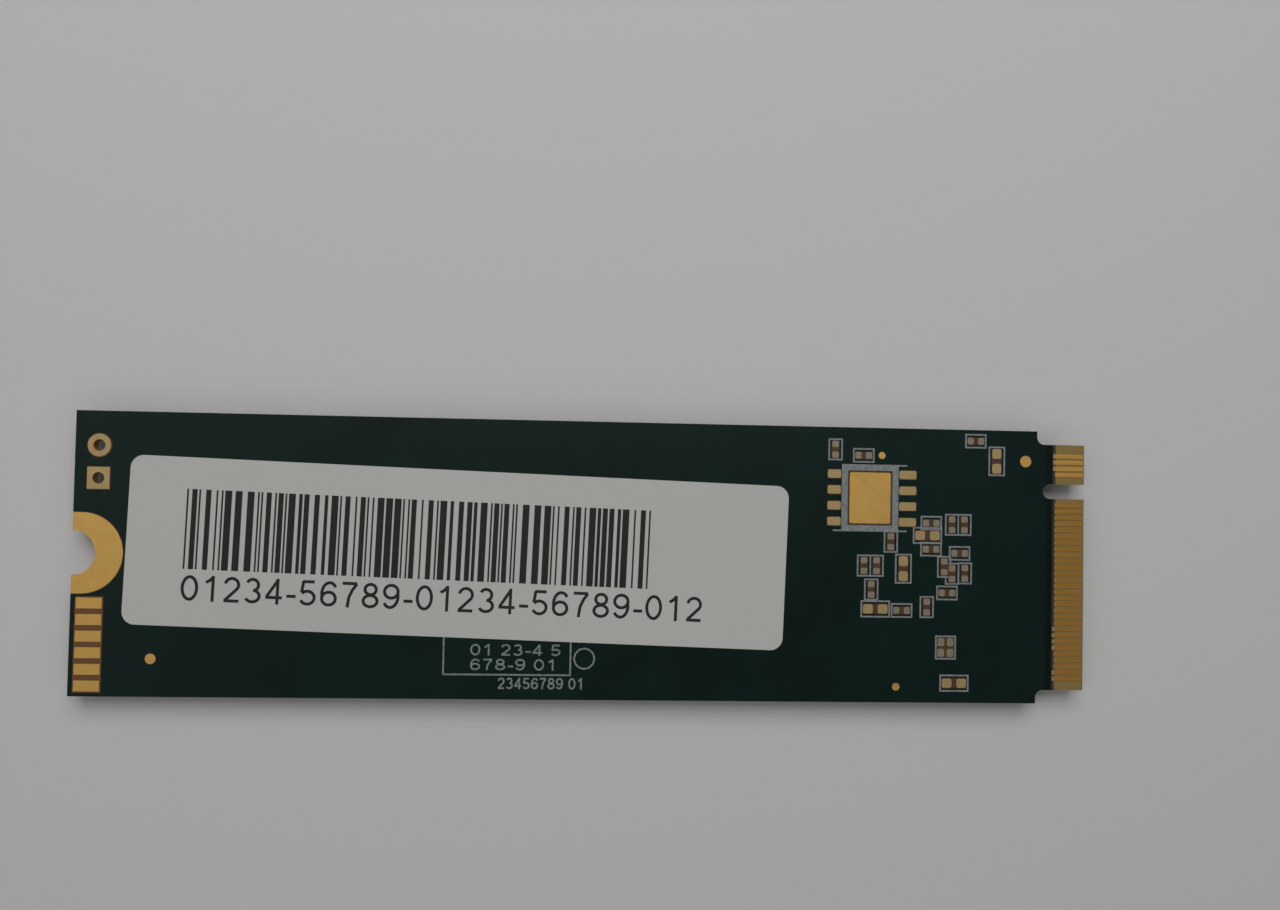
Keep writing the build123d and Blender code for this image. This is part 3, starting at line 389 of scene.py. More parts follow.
def modelled(name, tree, rows):
    """The plain mesh that a geometry tree makes when it is run once for each row of inputs."""
    base = bpy.data.objects.new(name + "_rows", bpy.data.meshes.new(name + "_rows"))
    bpy.context.scene.collection.objects.link(base)
    titles = {item.name: item.identifier for item in tree.interface.items_tree if item.in_out == "INPUT"}
    for row in rows:
        modifier = base.modifiers.new("row", "NODES")
        modifier.node_group = tree
        for title, value in row.items():
            modifier[titles[title]] = value
    made = bpy.data.meshes.new_from_object(base.evaluated_get(bpy.context.evaluated_depsgraph_get()))
    made.name = name
    base.modifiers.clear()
    bpy.data.objects.remove(base)
    return made


# Meshes

SAME_PLACE = 1e-8
SAME_LEVEL = 1e-6
FLAT = math.radians(1.0)
SHARP = math.radians(30.0)
LEAST_MITRE = 0.5             # keeps the corner of a sharp bend from growing into a spike


def add_piece(name, mesh, slot, *replaced):
    """Put a finished mesh into the scene as a piece that rides on the board, in place of some nodes."""
    piece = bpy.data.objects.new(name, mesh)
    bpy.context.scene.collection.objects.link(piece)
    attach(piece, BODY)
    if replaced:
        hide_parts(*replaced)


def mesh_of(name, work, finish=None):
    """Turn a bmesh into a mesh, with a material if a finish is named."""
    mesh = bpy.data.meshes.new(name)
    work.to_mesh(mesh)
    work.free()
    if finish:
        mesh.materials.append(MATERIALS[finish])
    return mesh


def add_work(name, work, slot, finish, *replaced):
    """Turn a bmesh into a piece with one finish."""
    add_piece(name, mesh_of(name, work, finish), slot, *replaced)


def middle_of(box):
    """The middle between the lowest and highest corner of a box."""
    return (box[0] + box[1]) / 2


def add_block(work, low, high):
    """A closed block between two corners."""
    middle = (Vector(low) + Vector(high)) / 2
    size = Vector(high) - Vector(low)
    place = Matrix.Translation(middle) @ Matrix.Diagonal((*size, 1.0))
    bmesh.ops.create_cube(work, size=1.0, matrix=place)


def add_prism(work, outline, low, high):
    """A closed prism that stands on an outline of x and y points, between two heights."""
    lower = [work.verts.new((x, y, low)) for x, y in outline]
    upper = [work.verts.new((x, y, high)) for x, y in outline]
    work.faces.new(list(reversed(lower)))
    work.faces.new(upper)
    for i in range(len(outline)):
        j = (i + 1) % len(outline)
        work.faces.new((lower[i], lower[j], upper[j], upper[i]))


def round_outline(x, y, radius, sides=32):
    """The points of a circle."""
    steps = [2 * math.pi * i / sides for i in range(sides)]
    return [(x + radius * math.cos(a), y + radius * math.sin(a)) for a in steps]


def add_frame(work, x, y, long, wide, line, low, high):
    """Four strips in a rectangle, outside the given size."""
    half_x, half_y = long / 2, wide / 2
    add_block(work, (x - half_x - line, y - half_y - line, low), (x + half_x + line, y - half_y, high))
    add_block(work, (x - half_x - line, y + half_y, low), (x + half_x + line, y + half_y + line, high))
    add_block(work, (x - half_x - line, y - half_y, low), (x - half_x, y + half_y, high))
    add_block(work, (x + half_x, y - half_y, low), (x + half_x + line, y + half_y, high))


def merged_copy(node):
    """A node's mesh with its loose triangles merged into flat faces."""
    work = bmesh.new()
    work.from_mesh(NODES[node].data)
    bmesh.ops.remove_doubles(work, verts=work.verts, dist=SAME_PLACE)
    bmesh.ops.dissolve_limit(
        work, angle_limit=FLAT, use_dissolve_boundaries=False, verts=work.verts, edges=work.edges
    )
    return work


def round_edges(work, radius, steps=1):
    """Round every sharp edge of the mesh."""
    sharp = [e for e in work.edges if len(e.link_faces) == 2 and e.calc_face_angle(0.0) > SHARP]
    bmesh.ops.bevel(
        work, geom=sharp, offset=radius, segments=steps, profile=0.5, affect="EDGES", clamp_overlap=True
    )


def rounded(node, slot, radius, steps=1, inset=0.0):
    """Show a node with rounded edges, as moulded and plated pieces have them, and its lowest face inset."""
    work = merged_copy(node)
    lowest = min(vertex.co.z for vertex in work.verts)
    for vertex in work.verts:
        if vertex.co.z < lowest + SAME_LEVEL:
            vertex.co.z = lowest + inset
    round_edges(work, radius, steps)
    add_work(node + "_rounded", work, slot, slot, node)


def islands(node):
    """The box of each separate solid in a node, as lowest and highest corners."""
    work = merged_copy(node)
    left = set(work.verts)
    boxes = []
    while left:
        reached = [left.pop()]
        for vertex in reached:
            beside = {edge.other_vert(vertex) for edge in vertex.link_edges} & left
            left -= beside
            reached.extend(beside)
        corners = [vertex.co for vertex in reached]
        low = Vector([min(c[axis] for c in corners) for axis in range(3)])
        high = Vector([max(c[axis] for c in corners) for axis in range(3)])
        boxes.append((low, high))
    work.free()
    return sorted(boxes, key=lambda box: (round(box[0].x, 6), round(box[0].y, 6)))


def rectangle_outline(low, high, radius, steps=3):
    """The points of a rectangle with rounded corners."""
    centres = (
        (high.x - radius, high.y - radius, 0.0),
        (low.x + radius, high.y - radius, 0.5),
        (low.x + radius, low.y + radius, 1.0),
        (high.x - radius, low.y + radius, 1.5),
    )
    points = []
    for x, y, start in centres:
        for i in range(steps + 1):
            angle = math.pi * (start + 0.5 * i / steps)
            points.append((x + radius * math.cos(angle), y + radius * math.sin(angle)))
    return points


def add_ribbon(work, path, width, low, high):
    """A closed strip of even width along a path of x and y points, or a ring if the path is closed."""
    points = [Vector(point) for point in path]
    ring = (points[0] - points[-1]).length < SAME_PLACE
    if ring:
        points.pop()
    count = len(points)
    sections = []
    for i, point in enumerate(points):
        before = point - points[i - 1] if i or ring else points[1] - point
        after = points[(i + 1) % count] - point if i < count - 1 or ring else before
        before, after = before.normalized(), after.normalized()
        along = (before + after).normalized()
        side = Vector((-along.y, along.x)) * width / 2 / max(along.dot(after), LEAST_MITRE)
        left, right = point + side, point - side
        corners = ((left, low), (right, low), (right, high), (left, high))
        sections.append([work.verts.new((corner.x, corner.y, z)) for corner, z in corners])
    for i in range(count if ring else count - 1):
        here, there = sections[i], sections[(i + 1) % count]
        for k in range(4):
            work.faces.new((here[k], there[k], there[(k + 1) % 4], here[(k + 1) % 4]))
    if not ring:
        work.faces.new(sections[0])
        work.faces.new(reversed(sections[-1]))


def arc(x, y, wide, high, start, end):
    """Points of an arc of an ellipse, with a point about every fifteen degrees."""
    steps = max(2, round(abs(end - start) / 15))
    angles = [math.radians(start + (end - start) * i / steps) for i in range(steps + 1)]
    return [(x + wide * math.cos(angle), y + high * math.sin(angle)) for angle in angles]


def half_turned(strokes):
    """Strokes turned upside down about the middle of a digit."""
    return [[(DIGIT_WIDE - x, 1.0 - y) for x, y in stroke] for stroke in strokes]


# Strokes of each digit in a box one unit high, and how far each moves the next one along
DIGIT_WIDE = 0.66
SIX = [arc(0.335, 0.315, 0.255, 0.25, 0, 360), arc(0.36, 0.5, 0.285, 0.435, 38, 195)]
STROKES = {
    "0": [arc(0.33, 0.5, 0.265, 0.435, 0, 360)],
    "1": [[(0.15, 0.74), (0.27, 0.81), (0.36, 0.9), (0.4, 0.97)], [(0.405, 0.0), (0.405, 1.0)]],
    "2": [arc(0.325, 0.685, 0.245, 0.25, 170, -38) + [(0.1, 0.1)], [(0.045, 0.065), (0.6, 0.065)]],
    "3": [arc(0.31, 0.715, 0.215, 0.22, 155, -80), arc(0.31, 0.29, 0.26, 0.225, 85, -155)],
    "4": [[(0.45, 0.93), (0.06, 0.285)], [(0.02, 0.265), (0.63, 0.265)], [(0.455, 0.0), (0.455, 1.0)]],
    "5": [
        [(0.155, 0.935), (0.57, 0.935)],
        [(0.165, 0.96), (0.105, 0.5)],
        arc(0.32, 0.315, 0.26, 0.25, 140, -155),
    ],
    "6": SIX,
    "7": [[(0.05, 0.935), (0.6, 0.935)], [(0.585, 0.92), (0.43, 0.69), (0.31, 0.4), (0.265, 0.0)]],
    "8": [arc(0.33, 0.735, 0.21, 0.2, 0, 360), arc(0.33, 0.285, 0.26, 0.22, 0, 360)],
    "9": half_turned(SIX),
    "-": [[(0.02, 0.34), (0.36, 0.34)]],
    " ": [],
}
ADVANCE = {"-": 0.465, " ": 0.39}
DIGIT_ADVANCE = 0.777
LATER_STROKE = 0.13           # how much thinner each later stroke of a digit is, as a share


def add_digits(work, words, box, weight, seat, face):
    """A line of digits drawn with strokes, in a box given by its left, right, bottom and top.

    Each stroke stands from its seat to its face. Later strokes of a digit are a little thinner, so that two
    that cross don't lie level.
    """
    left, right, bottom, top = box
    tall = top - bottom
    steps = [ADVANCE.get(sign, DIGIT_ADVANCE) for sign in words]
    whole = sum(steps[:-1]) + DIGIT_WIDE
    stretch = (right - left) / whole
    start = left
    for sign, step in zip(words, steps):
        for i, stroke in enumerate(STROKES[sign]):
            path = [(start + x * stretch, bottom + y * tall) for x, y in stroke]
            level = face + (seat - face) * LATER_STROKE * i
            add_ribbon(work, path, weight * tall, min(seat, level), max(seat, level))
        start += step * stretch


# Materials. Each function fills the graph of one material from a group of settings.

MATERIALS = {}
ETCHED_WALL = (0.11, 0.05, 0.018)
PLATED_WALL = (0.46, 0.24, 0.06)
BARE_NICKEL = (0.10, 0.055, 0.02)
SHADED_MASK = (0.0012, 0.0022, 0.0025)


def solder_mask_material(g, looks, base):
    """Green lacquer: an even dark film, faintly cloudy, with the fine ripple of a sprayed coat."""
    cloud = g.ramp(g.noise(0.16, 3.0), 0.35, 0.68)
    tone = g.mix(cloud, base, tinted(base, 0.72))
    tone = g.mix(g.by_tip(3.5, 3.0) * 0.75, tone, SHADED_MASK)
    fibre = g.noise(9.0, 2.0, place=g.stretched(g.place, 1.0, 0.25, 1.0))
    return g.finish(
        Base_Color=tone,
        Roughness=looks.mask_gloss + g.noise(0.8, 2.0) * 0.12,
        Specular_IOR_Level=0.17,
        Normal=g.bump(g.noise(1.4, 3.0) + fibre * 0.2, 3.0, 0.6),
    )


def laminate_material(g, looks):
    """Glass cloth in resin: tan in the bare tongue, darker in windows over copper, layered at the edges.
    Painted shade darkens the windows beyond the board's middle, and a band between the mask's end and the
    contacts.
    """
    weave = g.ramp(g.x.wave(0.30) * g.y.wave(0.36) + g.noise(3.0, 3.0) * 0.8, -0.6, 1.4)
    layers = g.ramp(g.z.wave(0.16) + g.noise(2.0, 2.0), -0.4, 1.6)
    tongue = g.by_tip(2.55, 2.4)
    bevel = g.by_tip(0.2, 0.12)
    # painted shade: a near-black band on the bare laminate between the mask's end and the roots of the contacts
    painted_shade_beside_mask = g.by_tip(3.4, 3.2) * (1.0 - g.by_tip(2.52, 2.34))
    # painted shade: windows beyond the board's middle are darkened as if in the shade of their pads
    painted_shade_small_windows = g.ramp(g.x, 0.0, 10.0)
    window = g.mix(painted_shade_small_windows * 0.75, looks.laminate_over_copper, (0.040, 0.019, 0.008))
    flat = g.mix(tongue, window, looks.laminate)
    flat = g.mix(bevel * 0.7, flat, (0.13, 0.085, 0.025))
    flat = g.mix(weave * tongue * 0.3, flat, (0.33, 0.23, 0.075))
    # painted shade on the band beside the mask's end
    flat = g.mix(painted_shade_beside_mask * 0.85, flat, (0.020, 0.018, 0.008))
    edge = g.mix(layers * 0.6, (0.15, 0.108, 0.045), (0.30, 0.23, 0.115))
    return g.finish(
        Base_Color=g.mix(g.facing(), edge, flat),
        Roughness=0.5 + g.noise(4.0, 2.0) * 0.2,
        Normal=g.bump(weave + layers, 6.0, 0.5),
    )


def pad_gold_material(g, base, dullness, wall):
    """Thin gold over nickel and etched copper: satin, mottled, with a few dark pinholes."""
    mottle = g.ramp(g.noise(0.9, 4.0, 0.6), 0.3, 0.72)
    film = g.ramp(g.noise(5.0, 2.0), 0.62, 0.8)
    tone = g.mix(mottle * 0.45, base, tinted(base, 1.06, 0.9, 1.1))
    tone = g.mix(film * 0.3, tone, tinted(base, 1.0, 1.1, 1.6))
    tone = g.mix(g.specks(1.7, 0.035, 0.075) * 0.8, tone, BARE_NICKEL)
    tone = g.mix((1.0 - g.facing()) * 0.8, tone, wall)
    return g.finish(
        Base_Color=tone,
        Metallic=0.82 - dullness * 0.5,
        Roughness=0.44 + mottle * 0.14,
        Normal=g.bump(g.noise(26.0, 2.0) + g.noise(5.0, 2.0), 2.2, 0.6),
    )


def contact_gold_material(g, looks):
    """Hard gold on the edge contacts, wiped along their length by a socket's springs, with a painted highlight
    that lightens the contacts towards the +Y side.
    """
    wipe = g.ramp(g.noise(1.0, 3.0, place=g.stretched(g.place, 0.35, 14.0, 1.0)), 0.42, 0.62)
    # painted highlight: contacts beyond about 6 mm in Y are lightened, as if they caught the light from behind
    # the board
    painted_highlight_end = g.ramp(g.y, 5.0, 7.0)
    root = 1.0 - g.by_tip(2.48, 2.34)
    tone = g.mix(wipe * 0.4, looks.hard_gold, (0.44, 0.23, 0.05))
    tone = g.mix(painted_highlight_end * 0.8, tone, (0.78, 0.45, 0.10))
    tone = g.mix(root * 0.7, tone, (0.42, 0.40, 0.20))
    return g.finish(
        Base_Color=tone, Metallic=0.82, Roughness=0.40 + wipe * 0.16, Normal=g.bump(wipe, 1.5, 0.5)
    )


def board_print_material(g, looks):
    """White epoxy print, so thin that it looks grey and broken where it thins out."""
    thin = g.ramp(g.noise(4.5, 3.0, 0.6), 0.38, 0.75)
    tone = g.mix(thin * 0.55, looks.print_white, (0.045, 0.065, 0.058))
    return g.finish(Base_Color=tone, Roughness=0.62, Normal=g.bump(g.noise(11.0, 2.0), 3.0, 0.6))


def label_paper_material(g, looks):
    """Matt label stock with faint fibres, a little cloudy."""
    fibres = g.noise(7.0, 4.0, 0.65, place=g.stretched(g.place, 0.5, 1.3, 1.0))
    cloud = g.ramp(g.noise(0.07, 2.0), 0.3, 0.7)
    tone = g.mix(g.ramp(fibres, 0.42, 0.72) * 0.35, looks.paper, tinted(looks.paper, 0.88))
    tone = g.mix(cloud * 0.4, tone, tinted(looks.paper, 1.06))
    return g.finish(
        Base_Color=tone,
        Roughness=0.74,
        Specular_IOR_Level=0.3,
        Normal=g.bump(fibres + g.noise(0.5, 2.0), 4.0, 0.6),
    )


def label_ink_material(g, looks):
    """Thermal print: black that greys a little where the paper is coarse."""
    worn = g.ramp(g.noise(9.0, 3.0, 0.7), 0.52, 0.78)
    tone = g.mix(worn * 0.4, looks.ink, (0.10, 0.10, 0.098))
    return g.finish(Base_Color=tone, Roughness=0.6, Specular_IOR_Level=0.2, Normal=g.bump(worn, 2.0, 0.5))


def moulding_material(g, looks):
    """Filled black epoxy with the fine spark-eroded grain of its mould, and dust."""
    grain = g.noise(16.0, 4.0, 0.7)
    tone = g.mix(g.ramp(grain, 0.35, 0.7) * 0.5, looks.moulding, tinted(looks.moulding, 2.3))
    tone = g.mix(g.specks(9.0, 0.0, 0.16) * 0.5, tone, (0.06, 0.06, 0.06))
    roughness = 0.52 + g.noise(1.2, 2.0) * 0.14
    return g.finish(Base_Color=tone, Roughness=roughness, Normal=g.bump(grain, 9.0, 0.5))


def mark_material(g, looks):
    """Laser marking on a package: the filler shows light grey where the surface was burnt off."""
    speckle = g.ramp(g.noise(18.0, 3.0, 0.7), 0.36, 0.66)
    tone = g.mix(speckle, (0.085, 0.085, 0.084), looks.mark)
    return g.finish(Base_Color=tone, Roughness=0.8, Normal=g.bump(speckle, 4.0, 0.5))


def carrier_material(g, looks):
    """The packages' own small boards: dark green lacquer above, resin edge at the sides."""
    layers = g.ramp(g.z.wave(0.09) + g.noise(3.0, 2.0), -0.2, 1.5)
    edge = g.mix(layers, (0.055, 0.060, 0.022), (0.14, 0.13, 0.05))
    tone = g.mix(g.facing(), edge, looks.carrier)
    return g.finish(Base_Color=tone, Roughness=0.38, Normal=g.bump(g.noise(8.0, 2.0), 3.0, 0.5))


def solder_material(g, looks):
    """Tin solder, bright with a frosted grain."""
    frost = g.ramp(g.noise(7.0, 4.0, 0.6), 0.35, 0.7)
    tone = g.mix(frost * 0.5, looks.solder, (0.42, 0.425, 0.43))
    ripple = g.bump(g.noise(12.0, 3.0), 4.0, 0.6)
    return g.finish(Base_Color=tone, Metallic=0.95, Roughness=0.36 + frost * 0.2, Normal=ripple)


def lid_material(g, looks):
    """Thin plated lid with faint rolling lines."""
    lines = g.noise(1.0, 3.0, place=g.stretched(g.place, 1.0, 30.0, 1.0))
    tone = g.mix(g.ramp(lines, 0.35, 0.7) * 0.4, looks.lid, (0.40, 0.37, 0.31))
    return g.finish(Base_Color=tone, Metallic=0.9, Roughness=0.42, Normal=g.bump(lines, 1.5, 0.5))


def capacitor_material(g, looks):
    """Fired barium titanate: tan to brown, a little different from piece to piece."""
    piece = g.ramp(g.noise(0.35, 1.0), 0.3, 0.7)
    speckle = g.ramp(g.noise(14.0, 3.0, 0.7), 0.4, 0.7)
    tone = g.mix(piece, looks.ceramic, (0.30, 0.20, 0.125))
    tone = g.mix(speckle * 0.3, tone, (0.12, 0.065, 0.035))
    return g.finish(Base_Color=tone, Roughness=0.5, Normal=g.bump(g.noise(16.0, 3.0), 4.0, 0.6))


def resistor_material(g, looks):
    """White alumina with black glass over its outer face, which looks down."""
    glass = g.ramp(g.upward() * -1.0, 0.5, 0.8)
    tone = g.mix(glass, looks.alumina, (0.012, 0.012, 0.014))
    return g.finish(Base_Color=tone, Roughness=0.5 - glass * 0.25, Normal=g.bump(g.noise(9.0, 2.0), 3.0, 0.5))


def crystal_material(g, looks):
    """The crystal's dark alumina base."""
    grain = g.noise(15.0, 3.0, 0.7)
    tone = g.mix(g.ramp(grain, 0.35, 0.7), looks.crystal, (0.065, 0.06, 0.055))
    return g.finish(Base_Color=tone, Roughness=0.6, Normal=g.bump(grain, 4.0, 0.6))


def ferrite_material(g, looks):
    """Pressed iron powder, dark grey with a coarse matt grain."""
    grain = g.noise(11.0, 4.0, 0.7)
    pits = g.specks(6.0, 0.05, 0.2)
    tone = g.mix(g.ramp(grain, 0.35, 0.7) * 0.6, looks.ferrite, (0.11, 0.11, 0.112))
    tone = g.mix(pits * 0.5, tone, (0.02, 0.02, 0.02))
    return g.finish(Base_Color=tone, Roughness=0.68, Normal=g.bump(grain - pits * 0.6, 12.0, 0.6))


def floor_material(g, looks):
    """Plain pale board with the faintest tooth."""
    tooth = g.noise(0.9, 3.0, 0.6)
    tone = g.mix(g.ramp(tooth, 0.3, 0.7) * 0.06, looks.floor, tinted(looks.floor, 0.9))
    return g.finish(Base_Color=tone, Roughness=0.9, Specular_IOR_Level=0.1, Normal=g.bump(tooth, 8.0, 0.3))


# The function that makes each material, and the group of settings that it takes
PLAIN_FINISHES = {
    "laminate": (laminate_material, "board_looks"),
    "hard_gold": (contact_gold_material, "board_looks"),
    "board_print": (board_print_material, "board_looks"),
    "label_paper": (label_paper_material, "label_looks"),
    "label_ink": (label_ink_material, "label_looks"),
    "moulding": (moulding_material, "chip_looks"),
    "laser_mark": (mark_material, "chip_looks"),
    "chip_carrier": (carrier_material, "chip_looks"),
    "solder": (solder_material, "chip_looks"),
    "lid_metal": (lid_material, "chip_looks"),
    "capacitor_ceramic": (capacitor_material, "chip_looks"),
    "resistor_ceramic": (resistor_material, "chip_looks"),
    "crystal_ceramic": (crystal_material, "chip_looks"),
    "ferrite": (ferrite_material, "chip_looks"),
    "floor": (floor_material, "stage_looks"),
}

# The colour setting of each pad's gold, its dullness and the colour of its upright walls
PAD_FINISHES = {
    "soft_gold": ("soft_gold", 0.0, ETCHED_WALL),
    "pale_gold": ("pale_gold", 0.5, ETCHED_WALL),
    "dull_gold": ("dull_gold", 1.0, ETCHED_WALL),
    "plated_gold": ("soft_gold", 0.0, PLATED_WALL),
    "plated_pale_gold": ("pale_gold", 0.5, PLATED_WALL),
}

# The colour setting of each sort of solder mask
MASK_FINISHES = {"solder_mask": "mask", "mask_over_copper": "mask_over_copper"}


class FinishAllNodes(bpy.types.Operator):
    """Give every carried-over solid the finish of its material slot"""

    bl_idname = "drive.finish_all_nodes"
    bl_label = "Finish the solids"

    # Nodes of the gold slot whose upright walls are plated too, and their finish
    PLATED = {
        "gold_screw_land": "plated_gold",
        "round_header_hole": "plated_pale_gold",
        "square_header_hole": "plated_pale_gold",
    }

    def execute(self, context):
        board = context.scene.board_looks
        for name, (make, group) in PLAIN_FINISHES.items():
            MATERIALS[name] = make(ShaderGraph(name), getattr(context.scene, group))
        for name, (setting, dullness, wall) in PAD_FINISHES.items():
            MATERIALS[name] = pad_gold_material(ShaderGraph(name), getattr(board, setting), dullness, wall)
        for name, setting in MASK_FINISHES.items():
            MATERIALS[name] = solder_mask_material(ShaderGraph(name), board, getattr(board, setting))
        for part in frame["record"]["subparts"]:
            mesh = NODES[part["node"]].data
            mesh.materials.clear()
            mesh.materials.append(MATERIALS[self.PLATED.get(part["node"], part["material_slot"])])
        return {"FINISHED"}


# Label side

class PrintLabel(bpy.types.Operator):
    """Print the line of plain digits on the label, under its bars"""

    bl_idname = "drive.print_label"
    bl_label = "Label digits"

    def execute(self, context):
        looks = context.scene.label_looks
        middle = middle_of(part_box("paper_label"))
        half_wide, half_tall = looks.digits_width / 2, looks.digits_height / 2
        x, y = looks.digits_x, looks.digits_y
        box = (x - half_wide, x + half_wide, y - half_tall, y + half_tall)
        work = bmesh.new()
        add_digits(work, looks.digits, box, looks.digits_weight, 0.0, looks.ink_thickness)
        place = Matrix.Translation((middle.x, middle.y, LABEL_TOP)) @ Matrix.Rotation(looks.turn, 4, "Z")
        work.transform(place)
        add_work("label_digits", work, "label_ink", "label_ink")
        return {"FINISHED"}


class PrintBoard(bpy.types.Operator):
    """Print the lines of plain digits on the board beside the label"""

    bl_idname = "drive.print_board"
    bl_label = "Board digits"

    # Left end, right end and height of each line on the board
    LINES = {
        "upper": (-9.4 * MM, -2.3 * MM, -7.12 * MM),
        "middle": (-9.4 * MM, -2.6 * MM, -8.27 * MM),
        "lower": (-7.2 * MM, -0.45 * MM, -9.73 * MM),
    }

    def execute(self, context):
        looks = context.scene.print_looks
        work = bmesh.new()
        for setting, (left, right, y) in self.LINES.items():
            box = (left, right, y - looks.height / 2, y + looks.height / 2)
            add_digits(work, getattr(looks, setting), box, looks.weight, MASK_TOP, MASK_TOP + looks.thickness)
        add_work("board_digits", work, "board_print", "board_print")
        return {"FINISHED"}


class RoundLabelSide(bpy.types.Operator):
    """Round the edges of the label, of its side's pads and dots, and of the edge contacts of both sides"""

    bl_idname = "drive.round_label_side"
    bl_label = "Rounded copper and label"

    COPPER_EDGE = 0.012 * MM
    LABEL_EDGE = 0.02 * MM
    LABEL_EDGE_STEPS = 2
    PAD_CORNER = 0.17 * MM
    PAD_CORNER_SHARE = 0.25

    # Pads over the large area are bright and those under the small area are dull
    LARGE_PAD = 1.2 * MM * MM
    SMALL_PAD = 0.4 * MM * MM

    def execute(self, context):
        rounded("edge_contacts_label_side", "hard_gold", self.COPPER_EDGE)
        rounded("edge_contacts_chip_side", "hard_gold", self.COPPER_EDGE)
        rounded("test_pads", "soft_gold", self.COPPER_EDGE)
        rounded("paper_label", "label_paper", self.LABEL_EDGE, self.LABEL_EDGE_STEPS)
        self.round_dots()
        self.round_pads("spare_chip_pads")
        self.round_pads("spare_component_pads")
        return {"FINISHED"}

    def round_dots(self):
        """Dots that are true rounds, where the frame's have few sides."""
        work = bmesh.new()
        for low, high in islands("alignment_dots"):
            middle = middle_of((low, high))
            add_prism(work, round_outline(middle.x, middle.y, (high.x - low.x) / 2), low.z, high.z)
        round_edges(work, self.COPPER_EDGE)
        add_work("alignment_dots_round", work, "soft_gold", "soft_gold", "alignment_dots")

    def round_pads(self, node):
        """Pads with the rounded corners of etched copper, the smaller the duller."""
        sizes = {"soft_gold": [], "pale_gold": [], "dull_gold": []}
        for low, high in islands(node):
            area = (high.x - low.x) * (high.y - low.y)
            finish = "soft_gold" if area > self.LARGE_PAD else "pale_gold"
            sizes["dull_gold" if area < self.SMALL_PAD else finish].append((low, high))
        for finish, boxes in sizes.items():
            if not boxes:
                continue
            work = bmesh.new()
            for low, high in boxes:
                corner = min(self.PAD_CORNER, self.PAD_CORNER_SHARE * min(high.x - low.x, high.y - low.y))
                add_prism(work, rectangle_outline(low, high, corner), low.z, high.z)
            round_edges(work, self.COPPER_EDGE)
            add_work(node + "_" + finish, work, "soft_gold", finish, node)


# Chip side

BALL_CREASE = math.radians(50.0)


def ball_grid_tree():
    """Solder balls in a grid: barrels that are pinched at both ends, with empty columns down the middle."""
    g = ModelGraph(
        "ball_grid",
        Middle="vector",
        Columns="count",
        Rows="count",
        Pitch="size",
        Empty="size",
        Radius="size",
        Height="size",
        Sides="count",
        Bulge="size",
        Material="material",
    )
    columns, rows, pitch = g.input("Columns"), g.input("Rows"), g.input("Pitch")
    sizes = {"Size X": (columns - 1) * pitch, "Size Y": (rows - 1) * pitch}
    grid = g.node("GeometryNodeMeshGrid", None, {**sizes, "Vertices X": columns, "Vertices Y": rows})
    place = g.node("ShaderNodeSeparateXYZ", None, {0: g.node("GeometryNodeInputPosition")})
    in_gap = abs(place) < g.input("Empty") * pitch / 2
    kept = g.node("GeometryNodeDeleteGeometry", {"domain": "POINT"}, {0: grid, "Selection": in_gap})
    moved = g.node("GeometryNodeTransform", None, {"Geometry": kept, "Translation": g.input("Middle")})
    height = g.input("Height")
    barrel = g.node(
        "GeometryNodeMeshCylinder",
        {"fill_type": "TRIANGLE_FAN"},
        {"Vertices": g.input("Sides"), "Side Segments": 4, "Radius": g.input("Radius"), "Depth": height},
    )
    level = place.of("Z") / height * 2.0
    pinch = 1.0 - g.input("Bulge") * level * level
    pinched = g.vector(place * pinch, place.of("Y") * pinch, place.of("Z"))
    ball = g.node("GeometryNodeSetPosition", None, {"Geometry": barrel, "Position": pinched})
    balls = g.node("GeometryNodeInstanceOnPoints", None, {"Points": moved, "Instance": ball})
    return g.finish(balls)


class SolderBalls(bpy.types.Operator):
    """Fill the grid of solder balls under each package"""

    bl_idname = "drive.solder_balls"
    bl_label = "Solder balls"

    # Pitch of the balls, and how many columns are left out down the middle
    GRIDS = {
        "flash_memory_1": (1.0 * MM, 0),
        "flash_memory_2": (1.0 * MM, 0),
        "buffer_memory": (0.8 * MM, 3),
        "controller": (1.0 * MM, 0),
    }

    def execute(self, context):
        looks = context.scene.chip_looks
        tree = ball_grid_tree()
        for package, (pitch, empty) in self.GRIDS.items():
            node = package + "_solder_balls"
            low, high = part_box(node)
            ball_low, ball_high = islands(node)[0]
            ball = ball_high.x - ball_low.x
            row = {
                "Middle": tuple(middle_of((low, high))),
                "Columns": round((high.x - low.x - ball) / pitch) + 1,
                "Rows": round((high.y - low.y - ball) / pitch) + 1,
                "Pitch": pitch,
                "Empty": float(empty),
                "Radius": ball / 2,
                "Height": high.z - low.z,
                "Sides": looks.ball_sides,
                "Bulge": looks.ball_bulge,
                "Material": MATERIALS["solder"],
            }
            name = package + "_ball_grid"
            mesh = modelled(name, tree, [row])
            mesh.shade_smooth()
            mesh.set_sharp_from_angle(angle=BALL_CREASE)
            add_piece(name, mesh, "solder", node)
        return {"FINISHED"}


# Profile of a fillet: how far out from the terminal and how high, as shares of its spread and its rise
FILLET = ((-0.3, 0.0), (1.0, 0.0), (1.0, 0.06), (0.5, 0.24), (0.2, 0.58), (0.0, 1.0), (-0.3, 1.0))
FILLET_WIDTH = 0.94           # share of the terminal's width


